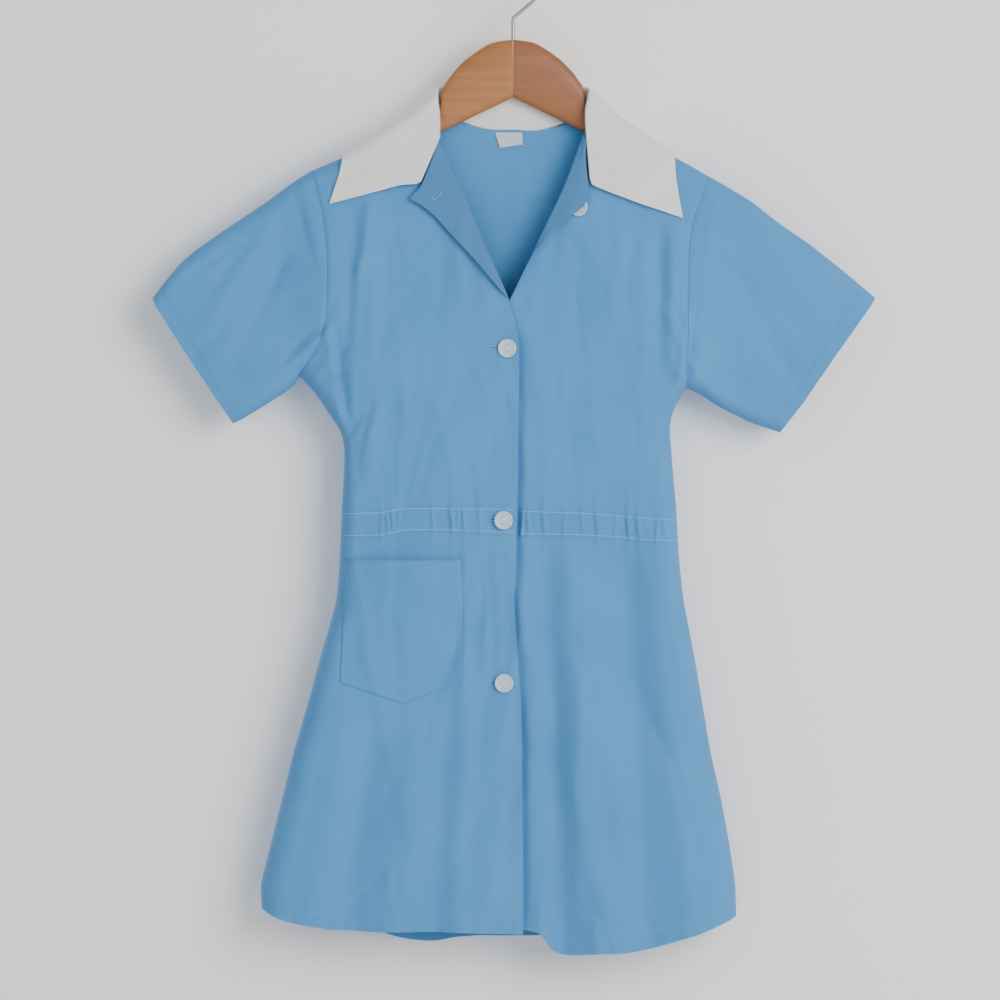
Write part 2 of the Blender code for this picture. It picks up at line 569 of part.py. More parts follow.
def lapel_columns(roll, free, right):
    """The turned lapel: a half circle round the roll line, then flat over the front to its free edge."""
    out = free - roll
    width = np.linalg.norm(out, axis=1)
    unit = out / np.maximum(width, 1e-9)[:, None]
    radius = np.minimum(FOLD, 0.42 * width)
    centre = roll + unit * radius[:, None]
    columns = []
    for angle in np.radians([-90.0, -35.0, 0.0, 35.0, 90.0]):
        flat = centre - unit * (radius * np.cos(angle))[:, None]
        y = front_depth(flat[:, 0], flat[:, 1], right) + radius * (1 + np.sin(angle))
        columns.append(np.stack([flat[:, 0], -y, flat[:, 1]], axis=-1))
    for part in np.linspace(0.0, 1.0, LAPEL_COLUMNS + 1)[1:]:
        flat = centre + (free - centre) * part
        y = front_depth(flat[:, 0], flat[:, 1], right) + 2 * radius + LAPEL_RISE * part * radius / FOLD
        columns.append(np.stack([flat[:, 0], -y, flat[:, 1]], axis=-1))
    return centre, columns


def front_grid(sections, shoulder, hem, right):
    """The middle points of one front's panel, and those of its lapel from the roll line outwards."""
    rows = section_rows(sections)
    roll, free = rows[:, 2:4], rows[:, 4:6]
    outer = armhole_edge(rows, -1 if right else 1)
    inner, lapel = lapel_columns(roll, free, right)
    flat = blended(outer, inner, row_parts(outer, inner), shoulder, hem)
    y = -front_depth(flat[..., 0], flat[..., 1], right)
    y[0] = -HALF_GAP
    y[ARMHOLE_COUNT - 1 :, 0] = -HALF_GAP
    panel = np.stack([flat[..., 0], y, flat[..., 1]], axis=-1)
    turned = np.stack(lapel, axis=1)[:, 1:]
    has_lapel = np.linalg.norm(free - roll, axis=1) > 1e-6
    turned[~has_lapel] = panel[~has_lapel, -1:]
    return panel, turned


def armhole_edge(rows, sign):
    """The side edge of a panel's rows, set back from the sleeve along the armhole."""
    edge = rows[:, :2].copy()
    edge[:ARMHOLE_COUNT, 0] -= sign * SEAM / 2
    edge[ARMHOLE_COUNT - 1, 0] -= sign * ARMPIT_SET
    return edge


def back_grid():
    """The middle points of the back, from the right side edge to the left one."""
    right = armhole_edge(section_rows(RIGHT_SECTIONS), -1)
    left = armhole_edge(section_rows(LEFT_SECTIONS), 1)
    top = np.array(SHOULDER_RIGHT + NECK_BACK[1:-1] + SHOULDER_LEFT[::-1])
    way = left[0] - right[0]
    neck = [(np.array(point) - right[0]) @ way / (way @ way) for point in (NECK_BACK[0], NECK_BACK[-1])]
    width = np.linalg.norm(left - right, axis=1)[:, None]
    near = EDGE_STEPS[None, :] / width
    side = np.linspace(0.0, 1.0, BACK_COLUMNS + 1)[None, 1:]
    middle = np.array(NECK_PARTS)[None]
    first, last = near[:, -1:], 1 - near[:, -1:]
    parts = np.concatenate(
        [
            near,
            first + (neck[0] - first) * side,
            neck[0] + (neck[1] - neck[0]) * middle + 0 * first,
            neck[1] + (last - neck[1]) * side[:, :-1],
            1 - near[:, ::-1],
        ],
        axis=1,
    )
    flat = blended(right, left, parts, top, HEM_BACK)
    y = depth(flat[..., 0], flat[..., 1], True)
    in_neck = (parts[0] > neck[0] + 1e-6) & (parts[0] < neck[1] - 1e-6)
    y[0, ~in_neck] = HALF_GAP
    y[ARMHOLE_COUNT - 1 :, [0, -1]] = HALF_GAP
    return np.stack([flat[..., 0], y, flat[..., 1]], axis=-1)


def sleeve_grid(sections, top, low, cuff, sign):
    """The closed rings of a sleeve, from the armhole to the cuff, with a column for each armhole row."""
    armhole = section_rows(sections)[:ARMHOLE_COUNT, :2] + np.array([sign * SEAM / 2, 0.0])
    armhole[-1, 0] += sign * ARMPIT_SET
    lengths = np.r_[0.0, np.cumsum(np.linalg.norm(np.diff(armhole, axis=0), axis=1))]
    parts = lengths / lengths[-1]
    top, low = np.array(top, float), np.array(low, float)
    top[0], low[0] = armhole[0], armhole[-1]
    rows = np.array(SLEEVE_ROWS)
    upper, lower = along(top, rows), along(low, rows)
    across = upper[:, None] * (1 - parts[:, None]) + lower[:, None] * parts[:, None]
    bow_in = armhole - across[0]
    bow_out = along(cuff, parts) - across[-1]
    share = rows[:, None, None]
    flat = across + bow_in[None] * (1 - share) ** 1.5 + bow_out[None] * share**2
    x, z = flat[..., 0], flat[..., 1]
    front = np.stack([x, -depth(x, z, False), z], axis=-1)
    back = np.stack([x, depth(x, z, True), z], axis=-1)
    front[:, 0, 1] = back[:, 0, 1] = front[:, -1, 1] = back[:, -1, 1] = 0.0
    return np.concatenate([front, back[:, -2:0:-1]], axis=1)


def eased(values, rows):
    """Each column of a station table followed smoothly from station to station."""
    values = np.asarray(values, float)
    n = len(values)
    slopes = np.gradient(values, axis=0)
    at = np.linspace(0, n - 1, rows)
    i = np.minimum(at.astype(int), n - 2)
    t = (at - i)[:, None]
    a, b, sa, sb = values[i], values[i + 1], slopes[i], slopes[i + 1]
    return (
        a * (1 + 2 * t) * (1 - t) ** 2 + sa * t * (1 - t) ** 2 + b * t**2 * (3 - 2 * t) - sb * t**2 * (1 - t)
    )


def quarter(distance, reach):
    t = np.clip(distance / reach, 0.0, 1.0)
    return np.sqrt(1.0 - (1.0 - t) ** 2)


def collar_half(stations, end_chain):
    """One half of the collar, from its front end to the middle of the back."""
    table = np.array(stations, float)
    dense = np.linspace(0, 1, COLLAR_ROWS + 1)
    to_shoulder = COLLAR_SHOULDER - (1.0 - dense[1:]) ** COLLAR_CROWD
    from_shoulder = COLLAR_SHOULDER + dense[1:] ** COLLAR_CROWD
    behind = COLLAR_SHOULDER + 1 + np.r_[dense[1:], 1.0 + dense[2::2], 2.0]
    at = np.unique(np.r_[dense, to_shoulder, from_shoulder, behind])
    fine = eased(table[:, 1:], COLLAR_SAMPLES)
    where = np.linspace(0, len(table) - 1, COLLAR_SAMPLES)
    rows = np.stack([np.interp(at, where, fine[:, k]) for k in range(fine.shape[1])], axis=-1)
    seam, crease, edge = rows[:, 0:2], rows[:, 2:4], rows[:, 4:6]
    # The shoulder station has no lift of its own: the rounding brings it to nought.
    stations_with_lift = np.flatnonzero(np.arange(len(table)) != COLLAR_SHOULDER)
    lift_table = table[stations_with_lift, 7:]
    lifts = np.stack([np.interp(at, stations_with_lift, column) for column in lift_table.T], axis=-1)
    down_stand = (seam - crease) / np.maximum(np.linalg.norm(seam - crease, axis=1), 1e-9)[:, None]
    down_fall = (edge - crease) / np.linalg.norm(edge - crease, axis=1)[:, None]
    roll = np.minimum(ROLL, 0.5 * np.linalg.norm(seam - crease, axis=1))[:, None]
    stand_top = crease + down_stand * roll
    seam_lift, stand_lift, fall_lift, edge_lift = lifts.T
    flat_columns = [seam, (seam + stand_top) / 2, stand_top, crease]
    lift_columns = [seam_lift, (seam_lift + stand_lift) / 2, stand_lift, (stand_lift + fall_lift) / 2]
    start = crease + down_fall * ROLL
    end_row = np.array(end_chain, float)
    parts = np.linspace(0.0, 1.0, COLLAR_FALL_COLUMNS)
    start_part = ROLL / np.linalg.norm(np.diff(end_row, axis=0), axis=1).sum()
    end_points = along(end_row, start_part + (1 - start_part) * parts)
    end_bend = end_points - (start[0] + (edge[0] - start[0]) * parts[:, None])
    from_end = np.linalg.norm((crease + edge) / 2 - (crease[0] + edge[0]) / 2, axis=1)
    fade = np.exp(-((from_end / END_FADE) ** 2))
    for k, part in enumerate(parts):
        flat_columns.append(start + (edge - start) * part + end_bend[k] * fade[:, None])
        swell = COLLAR_BULGE * np.sin(np.pi * part)
        lift_columns.append(fall_lift * (1 - part) + edge_lift * part + swell)
    flat = np.stack(flat_columns, axis=1)
    lift = np.stack(lift_columns, axis=1)
    ridge = int(np.argmin(np.abs(at - COLLAR_SHOULDER)))
    steps = np.linalg.norm(np.diff(flat, axis=0), axis=2)
    travelled = np.concatenate([np.zeros((1, flat.shape[1])), np.cumsum(steps, axis=0)])
    distance = np.abs(travelled - travelled[ridge])
    front = (at < COLLAR_SHOULDER)[:, None]
    x, z = flat[..., 0], flat[..., 1]
    body = np.where(front, section_depth(x, z, False), section_depth(x, z, True))
    y = (body + lift) * quarter(distance, COLLAR_ROUND)
    return np.stack([x, np.where(front, -y, y), z], axis=-1)


def collar_grid():
    right = collar_half(COLLAR_RIGHT, COLLAR_END_RIGHT)
    left = collar_half(COLLAR_LEFT, COLLAR_END_LEFT)
    return np.concatenate([right, left[-2::-1]])


def panel_depth(panel, x, z):
    """The Y of a panel's own middle surface at points of the XZ plane, from the triangle over each."""
    rows, columns = panel.shape[:2]
    points = panel.reshape(-1, 3)
    faces = triangles(rows, columns)
    a, b, c = (points[faces[:, k]][:, None] for k in range(3))
    to_b, to_c = b - a, c - a
    from_x, from_z = x.reshape(1, -1) - a[..., 0], z.reshape(1, -1) - a[..., 2]
    area = to_b[..., 0] * to_c[..., 2] - to_c[..., 0] * to_b[..., 2]
    area = np.where(np.abs(area) < 1e-6, np.inf, area)
    share_b = (from_x * to_c[..., 2] - to_c[..., 0] * from_z) / area
    share_c = (to_b[..., 0] * from_z - from_x * to_b[..., 2]) / area
    share_a = 1.0 - share_b - share_c
    least = np.minimum(np.minimum(share_a, share_b), share_c)
    least = np.where(np.isinf(area), -np.inf, least)
    best = np.argmax(least, axis=0)
    each = np.arange(x.size)
    shares = np.clip(np.stack([share_a, share_b, share_c])[:, best, each], 0.0, 1.0)
    shares = shares / shares.sum(axis=0)
    y = (shares * points[faces[best], 1].T).sum(axis=0)
    return y.reshape(np.shape(x))


def on_panel(name, flat, panel, back, thick, look, lift):
    """A piece laid on a panel: the panel's own points there, moved out along its normals."""
    x, z = flat[..., 0], flat[..., 1]
    y = panel_depth(panel, x, z)
    edge = distance_to(OUTLINES, x, z) < 0.3
    y = np.where(edge, HALF_GAP if back else -HALF_GAP, y)
    grid = np.stack([x, y, z], axis=-1)
    rows, columns = grid.shape[:2]
    faces = triangles(rows, columns)
    points = grid.reshape(-1, 3)
    normals = vertex_normals(points, faces)
    if normals[:, 1].sum() * (1 if back else -1) < 0:
        faces, normals = faces[:, ::-1], -normals
    normals = level_normals(points, normals, HALF_GAP)
    shell, sides = thickened(points + normals * lift.reshape(-1, 1), faces, normals, thick)
    return add_object(name, shell, sides, look)


def face_under(panel, x, z, radius):
    """How far out the panel's middle surface comes anywhere under a round piece."""
    angle = np.linspace(0, 2 * np.pi, BUTTON_SIDES, endpoint=False)
    reach = np.array([0.0, 0.5, 1.0])[:, None] * radius
    return (-panel_depth(panel, x + reach * np.cos(angle), z + reach * np.sin(angle))).max()


def back_puckers():
    """The puckers of the back's casing, nearly even, as x and height."""
    i = np.arange(BACK_PUCKER_COUNT)
    x = BACK_PUCKER_FIRST + BACK_PUCKER_PITCH * i + BACK_PUCKER_SHIFT * (i % 3 - 1)
    height = BACK_PUCKER_HEIGHT + BACK_PUCKER_CHANGE * (i % 4 - 1)
    return np.stack([x, height], axis=-1)


def casing(name, table, step, puckers, panel, sides, look):
    """The waist casing: a strip on the panel, ruffled by its puckers. sides are its ends on an outline."""
    table = np.array(table)
    x = np.linspace(table[0, 0], table[-1, 0], int(round((table[-1, 0] - table[0, 0]) / step)) + 1)
    extra = [table[0, 0] + np.array(CASING_EDGE_STEPS)] * ("right" in sides)
    extra += [table[-1, 0] - np.array(CASING_EDGE_STEPS)] * ("left" in sides)
    x = np.unique(np.round(np.concatenate([x, *extra]), 3))
    parts = np.array([0.0, 0.5, 1.0])[:, None]
    z = np.interp(x, table[:, 0], table[:, 1]) * (1 - parts) + np.interp(x, table[:, 0], table[:, 2]) * parts
    flat = np.stack([np.broadcast_to(x, z.shape), z], axis=-1).copy()
    if "right" in sides:
        flat[:, 0, 0] = np.interp(-flat[:, 0, 1], -RIGHT_SIDE[:, 1], RIGHT_SIDE[:, 0])
    if "left" in sides:
        flat[:, -1, 0] = np.interp(-flat[:, -1, 1], -LEFT_SIDE[:, 1], LEFT_SIDE[:, 0])
    ruffle = sum(high * np.exp(-(((flat[..., 0] - at) / PUCKER_WIDTH) ** 2)) for at, high in puckers)
    lift = CASING_LIFT + ruffle * np.array(CASING_PUCKER_ROWS)[:, None]
    return on_panel(name, flat, panel, name == "casing_back", STRIP, look, lift)


def pocket(panel, look):
    """The patch pocket: sewn on three sides, open at the top, where it stands off the front."""
    rows = np.array(POCKET_ROWS)
    across = np.array(POCKET_PARTS)
    x = rows[:, 1:2] * (1 - across) + rows[:, 2:3] * across
    z = np.broadcast_to(rows[:, 0:1], x.shape).copy()
    bulge = rows[:, 3:4] * np.sin(np.pi * across) ** POCKET_BULGE_POWER
    corner_z = rows[-1, 0] - POCKET_CORNER_DROP
    foot_x = (rows[-1, 1], POCKET_POINT[0], rows[-1, 2])
    tip_z = np.interp(x[-1], foot_x, (corner_z, POCKET_POINT[1], corner_z))
    flat = np.stack([x, z], axis=-1)
    foot = np.stack([x[-1], tip_z], axis=-1)
    between = (flat[-1] + foot) / 2
    flat = np.concatenate([flat, between[None], foot[None]])
    bulge = np.concatenate([bulge, bulge[-1:] * 0.5, bulge[-1:] * 0.0])
    return on_panel("pocket", flat, panel, False, STRIP, look, POCKET_SEAM_LIFT + bulge)


def label(panel, look):
    """The blank neck label, laid on the inside of the back just under its seam."""
    a, b, c, d = (np.array(p) for p in LABEL_CORNERS)
    parts = np.linspace(0.0, 1.0, 4)
    upper = a * (1 - parts[:, None]) + b * parts[:, None]
    lower = c * (1 - parts[:, None]) + d * parts[:, None]
    flat = np.stack([upper, (upper + lower) / 2, lower])
    inside = np.full(flat.shape[:2], -(CLOTH / 2 + GAP + STRIP / 2))
    return on_panel("label", flat, panel, True, STRIP, look, inside)


def ring(radius, sides, turn=0.0):
    angle = np.linspace(0, 2 * np.pi, sides, endpoint=False) + turn
    return radius * np.cos(angle), radius * np.sin(angle)


def button(name, x, y_back, z, look):
    """A dished button facing -Y, with two holes one above the other. y_back is where its back lies."""
    inside = BUTTON_RADIUS - BUTTON_RIM
    profile = (
        (BUTTON_RADIUS - BUTTON_BACK_BEVEL, 0.0),
        (BUTTON_RADIUS, BUTTON_BACK_BEVEL),
        (BUTTON_RADIUS, BUTTON_THICK - BUTTON_FACE_BEVEL),
        (BUTTON_RADIUS - BUTTON_FACE_BEVEL, BUTTON_THICK),
        (inside, BUTTON_THICK - BUTTON_RIM_DROP),
        (inside - BUTTON_DISH_SLOPE, BUTTON_THICK - BUTTON_DISH),
    )
    points = []
    for radius, height in profile:
        px, pz = ring(radius, BUTTON_SIDES)
        points.append(np.stack([x + px, np.full(BUTTON_SIDES, y_back - height), z + pz], axis=-1))
    n, k = BUTTON_SIDES, len(profile)
    points = np.concatenate(points)
    faces = [tuple(reversed(range(n))), tuple((k - 1) * n + i for i in range(n))]
    for level in range(k - 1):
        for i in range(n):
            a, b = level * n + i, level * n + (i + 1) % n
            faces.append((a, b, b + n, a + n))
    mesh = bpy.data.meshes.new(name)
    mesh.from_pydata((points * MM).tolist(), [], faces)
    obj = bpy.data.objects.new(name, mesh)
    obj.data.materials.append(look)
    bpy.context.scene.collection.objects.link(obj)
    for index, side in enumerate((-1, 1)):
        hole = bpy.data.meshes.new(f"{name}_hole_{index}")
        px, pz = ring(BUTTON_HOLE, HOLE_SIDES)
        pz = pz + side * BUTTON_HOLE_APART / 2
        near = np.stack([x + px, np.full(HOLE_SIDES, y_back + 2.0), z + pz], axis=-1)
        far = near - np.array([0.0, BUTTON_THICK + 4.0, 0.0])
        ends = [tuple(range(HOLE_SIDES - 1, -1, -1)), tuple(range(HOLE_SIDES, 2 * HOLE_SIDES))]
        walls = [
            (i, (i + 1) % HOLE_SIDES, (i + 1) % HOLE_SIDES + HOLE_SIDES, i + HOLE_SIDES)
            for i in range(HOLE_SIDES)
        ]
        hole.from_pydata((np.concatenate([near, far]) * MM).tolist(), [], ends + walls)
        cutter = bpy.data.objects.new(f"{name}_hole_{index}", hole)
        cutter.hide_render = True
        bpy.context.scene.collection.objects.link(cutter)
        cut = obj.modifiers.new(f"hole_{index}", "BOOLEAN")
        cut.operation = "DIFFERENCE"
        cut.solver = "EXACT"
        cut.object = cutter
    return obj


def tube(name, middles, across_a, across_b, look):
    """A closed tube: a ring round each middle point, spanned by two directions, and a fan at each end."""
    sides = across_a.shape[1]
    grid = middles[:, None] + across_a + across_b
    rows = len(grid)
    faces = triangles(rows, sides, wrap=True)
    points = np.concatenate([grid.reshape(-1, 3), middles[:1], middles[-1:]])
    first, last = rows * sides, rows * sides + 1
    i = np.arange(sides)
    j = (i + 1) % sides
    start = np.stack([np.full(sides, first), j, i], axis=1)
    end = np.stack([np.full(sides, last), (rows - 1) * sides + i, (rows - 1) * sides + j], axis=1)
    faces = np.concatenate([faces, start, end])
    a, b, c = (points[faces[:, k]] for k in range(3))
    if (a * np.cross(b, c)).sum() < 0:
        faces = faces[:, ::-1]
    return add_object(name, points, faces, look)


def hanger_half(name, sign, look):
    """One wooden half: upright slices with rounded corners."""
    x, top, low, half = HANGER_SECTIONS.T
    angle = np.linspace(0, 2 * np.pi, HANGER_SIDES, endpoint=False)
    cosine = np.sign(np.cos(angle)) * np.abs(np.cos(angle)) ** SQUARENESS
    sine = np.sign(np.sin(angle)) * np.abs(np.sin(angle)) ** SQUARENESS
    middles = np.stack([sign * x, np.zeros_like(x), (top + low) / 2], axis=-1)
    across_y = half[:, None, None] * cosine[None, :, None] * np.array([0.0, 1.0, 0.0])
    across_z = ((top - low) / 2)[:, None, None] * sine[None, :, None] * np.array([0.0, 0.0, 1.0])
    return tube(name, middles, across_y, across_z, look)


def hook(look):
    """The wire hook: a stem on the hanger, a bend, a straight run and the round hook."""
    centre_z = -(HOOK_RADIUS - WIRE_RADIUS)
    turn = np.radians(np.linspace(HOOK_FROM, HOOK_TO, HOOK_STEPS))
    arc = np.stack([HOOK_RADIUS * np.cos(turn), centre_z + HOOK_RADIUS * np.sin(turn)], axis=-1)
    foot = np.array([0.0, HANGER_TOP_Z + GAP])
    bend = np.array([0.0, HOOK_BEND_Z])
    way = (arc[0] - bend) / np.linalg.norm(arc[0] - bend)
    up = np.array([0.0, 1.0])
    rounded = [
        bend - up * HOOK_BEND_REACH,
        bend - up * HOOK_BEND_INNER,
        bend + way * HOOK_BEND_INNER,
        bend + way * HOOK_BEND_REACH,
    ]
    path = np.concatenate([[foot], rounded, arc])
    tangent = np.gradient(path, axis=0)
    tangent /= np.linalg.norm(tangent, axis=1, keepdims=True)
    tangent[0] = up
    middles = np.stack([path[:, 0], np.zeros(len(path)), path[:, 1]], axis=-1)
    side = np.stack([-tangent[:, 1], np.zeros(len(path)), tangent[:, 0]], axis=-1)
    angle = np.linspace(0, 2 * np.pi, WIRE_SIDES, endpoint=False) + np.pi / WIRE_SIDES
    across_side = WIRE_RADIUS * np.cos(angle)[None, :, None] * side[:, None]
    across_y = WIRE_RADIUS * np.sin(angle)[None, :, None] * np.array([0.0, 1.0, 0.0])
    return tube("hook", middles, across_side, across_y, look)


def main():
    clear_scene()
    blue = material("cotton_blue", (0.16, 0.33, 0.5), 0.85)
    white = material("cotton_white", (0.62, 0.62, 0.64), 0.85)
    wood = material("wood", (0.42, 0.22, 0.11), 0.5)
    plastic = material("button_white", (0.6, 0.66, 0.72), 0.35)
    steel = material("steel", (0.5, 0.5, 0.5), 0.3, 1.0)

    right, right_lapel = front_grid(RIGHT_SECTIONS, SHOULDER_RIGHT, HEM_RIGHT, True)
    left, left_lapel = front_grid(LEFT_SECTIONS, SHOULDER_LEFT, HEM_LEFT, False)
    back = back_grid()
    add_sheet("front_right", np.concatenate([right, right_lapel], axis=1), CLOTH, blue, (0, -1, 0), HALF_GAP)
    add_sheet("front_left", np.concatenate([left, left_lapel], axis=1), CLOTH, blue, (0, -1, 0), HALF_GAP)
    add_sheet("back", back, CLOTH, blue, (0, 1, 0), HALF_GAP)
    sleeve_right = sleeve_grid(RIGHT_SECTIONS, SLEEVE_RIGHT_TOP, SLEEVE_RIGHT_LOW, CUFF_RIGHT, -1)
    sleeve_left = sleeve_grid(LEFT_SECTIONS, SLEEVE_LEFT_TOP, SLEEVE_LEFT_LOW, CUFF_LEFT, 1)
    add_tube_sheet("sleeve_right", sleeve_right, CLOTH, blue)
    add_tube_sheet("sleeve_left", sleeve_left, CLOTH, blue)
    add_sheet("collar", collar_grid(), DOUBLE, white, (0, 0, 1))
    casing("casing_front_right", CASING_RIGHT, CASING_STEP, FRONT_PUCKERS, right, ("right",), blue)
    casing("casing_front_left", CASING_LEFT, CASING_STEP, FRONT_PUCKERS, left, ("left",), blue)
    casing("casing_back", CASING_BACK, BACK_CASING_STEP, back_puckers(), back, ("right", "left"), blue)
    pocket(right, blue)
    label(back, white)
    for name, x, z, under in BUTTONS:
        button(name, x, -(face_under(right, x, z, BUTTON_RADIUS) + under + GAP), z, plastic)
    x, z = LAPEL_BUTTON
    button("button_1", x, -(face_under(left, x, z, BUTTON_RADIUS) + CLOTH / 2 + GAP), z, plastic)
    hanger_half("hanger_right", -1, wood)
    hanger_half("hanger_left", 1, wood)
    hook(steel)


main()
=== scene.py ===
"""The looks of a child's nurse uniform dress on a wooden hanger.

Every number in the tables is in millimetres, in the row frame: +Z is up, the front of the dress faces
-Y, its wearer's right side is at -X and the origin is the inner top of the hanger's hook.

The cloth is drawn in the XZ plane and set to its depth by one form. The depth is nought on an outline
where front and back meet, grows round a quarter ellipse to the depth of the section, and carries soft
folds, fine creases and the ripples of the seams. Each piece is a grid of points on that form, thickened
along its own normals to a thin closed shell.
"""

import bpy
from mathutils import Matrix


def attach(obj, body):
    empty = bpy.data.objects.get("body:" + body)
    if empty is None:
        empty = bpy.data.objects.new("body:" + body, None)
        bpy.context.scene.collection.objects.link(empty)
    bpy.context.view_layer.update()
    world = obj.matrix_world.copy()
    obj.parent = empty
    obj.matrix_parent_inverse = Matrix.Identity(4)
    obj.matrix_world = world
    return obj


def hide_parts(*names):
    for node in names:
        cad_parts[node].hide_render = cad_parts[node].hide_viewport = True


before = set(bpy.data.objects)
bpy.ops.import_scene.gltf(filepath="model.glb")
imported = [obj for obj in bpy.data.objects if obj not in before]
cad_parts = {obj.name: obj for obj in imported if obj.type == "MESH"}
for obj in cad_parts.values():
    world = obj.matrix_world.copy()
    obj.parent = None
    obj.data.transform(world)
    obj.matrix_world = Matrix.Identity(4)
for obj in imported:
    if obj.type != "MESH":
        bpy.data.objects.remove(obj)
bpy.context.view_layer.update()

import logging
import math
from dataclasses import dataclass, field
from enum import Enum
from typing import Sequence

import bpy
import numpy as np
from mathutils import Vector

logging.basicConfig(level=logging.INFO, format="%(message)s")
LOG = logging.getLogger("dress")

MM = 0.001
CLOTH = 0.8  # wall of every dress panel
DOUBLE = 1.2  # wall of the collar, which is two layers
STRIP = 0.7  # wall of the pocket
CASING_WALL = 0.35
GAP = 0.06  # between a piece and its neighbour
SEAM = 0.42  # between two pieces sewn edge to edge
HALF_GAP = GAP / 2
LABEL_WALL = 0.4
FOLD = 1.9  # radius of the lapel's turn at its roll line
LAPEL_RISE = 2.0  # how much further the lapel's free edge stands off the front
LAP = 2.2  # how far the right front lies over the left one
LAP_FROM, LAP_FULL = 45.0, 22.0  # where the right front starts to rise, and where it is up
UNDER_FULL, UNDER_TO = 9.0, 32.0  # where the left front is down, and where it is level
ARMPIT_SET = 0.6  # how far body and sleeve each stand back at the armpit
SLEEVE_DEPTH = 11.0
SLEEVE_ROUND = 10.0
BODY_TO, SLEEVE_FROM = 150.0, 190.0  # where the body's section ends and the sleeve's begins
ARMS_ABOVE = -450.0

# The middle and the half height of the waist casing, and the gathers that it sends up and down: their
# share of a pucker's height, their spread, drifts, width and its growth, and their reach and its steps.
WAIST_Z, CASING_HALF = -478.0, 11.0
GATHER_SHARE, GATHER_SPREAD = 0.85, 1400.0
GATHER_DRIFTS = (-0.04, 0.05)
GATHER_WIDTH, GATHER_GROWTH = 2.0, 0.045
GATHER_REACH, GATHER_STEP = 14.0, 16.0

# Half widths of the ripples at an armhole and at a hem, and of the groove at an armhole's seam.
ARMHOLE_RIPPLE, HEM_RIPPLE, GROOVE_WIDTH = 7.0, 13.0, 1.9

# The front edges below the roll line, as levels where each change starts and is full, heights and half
# widths: the upper edge stands off, the lower one is pressed down, and the skirt sinks under the lap.
EDGE_STAND_FROM, EDGE_PRESS_FROM = (-300.0, -330.0), (-305.0, -335.0)
EDGE_STAND, EDGE_STAND_CHANGE, EDGE_STAND_WIDTH = 0.55, 0.45, 5.0
EDGE_PRESS, EDGE_PRESS_WIDTH = 3.0, 4.6
SKIRT_SINK, SKIRT_SINK_X, SKIRT_SINK_WIDTH = 3.4, 8.0, 26.0
SKIRT_SINK_TOP, SKIRT_SINK_FOOT = (-600.0, -690.0), (-830.0, -780.0)

# A row per level: z, depth of the front, depth of the back, and the in-plane reach of the rounded side.
DEPTHS = np.array(
    [
        (-850.0, 30.0, 26.0, 24.0),
        (-700.0, 26.0, 22.0, 21.0),
        (-600.0, 23.0, 19.0, 18.0),
        (-520.0, 21.0, 16.0, 13.0),
        (-477.0, 19.0, 15.0, 12.0),
        (-440.0, 20.0, 16.0, 12.0),
        (-350.0, 19.0, 15.0, 12.0),
        (-260.0, 17.0, 13.0, 11.0),
        (-200.0, 13.0, 11.5, 10.0),
        (-150.0, 9.5, 9.5, 10.0),
        (-110.0, 9.0, 9.0, 10.0),
    ]
)

# A row per soft fold: x and z of its top, x and z of its foot, half width, height (negative is a
# trough) and how far its ends fade.
FRONT_FOLDS = (
    (-132.0, -215.0, -131.0, -410.0, 9.0, -3.5, 40.0),
    (-118.0, -235.0, -120.0, -440.0, 9.0, 1.8, 50.0),
    (124.0, -240.0, 124.0, -350.0, 8.0, -3.2, 35.0),
    (109.0, -250.0, 108.0, -400.0, 9.0, 1.5, 50.0),
    (-150.0, -330.0, -128.0, -440.0, 6.0, -2.2, 25.0),
    (-60.0, -290.0, -50.0, -450.0, 16.0, 1.6, 50.0),
    (70.0, -300.0, 62.0, -450.0, 18.0, 1.8, 50.0),
    (28.0, -500.0, 44.0, -900.0, 11.0, -5.0, 90.0),
    (44.0, -505.0, 82.0, -900.0, 17.0, 5.5, 90.0),
    (92.0, -500.0, 118.0, -900.0, 15.0, -4.5, 110.0),
    (116.0, -500.0, 160.0, -900.0, 14.0, 4.0, 90.0),
    (-36.0, -500.0, -50.0, -900.0, 11.0, 4.0, 90.0),
    (-48.0, -640.0, -74.0, -900.0, 14.0, -4.5, 70.0),
    (-80.0, -640.0, -112.0, -900.0, 15.0, 5.0, 70.0),
    (-116.0, -650.0, -150.0, -900.0, 14.0, -4.0, 70.0),
    (-140.0, -640.0, -182.0, -900.0, 12.0, 3.5, 70.0),
    (-205.0, -225.0, -255.0, -310.0, 11.0, 2.2, 40.0),
    (-195.0, -262.0, -238.0, -352.0, 10.0, -2.0, 40.0),
    (205.0, -228.0, 262.0, -315.0, 12.0, 2.2, 40.0),
    (186.0, -268.0, 236.0, -360.0, 10.0, -2.0, 40.0),
)
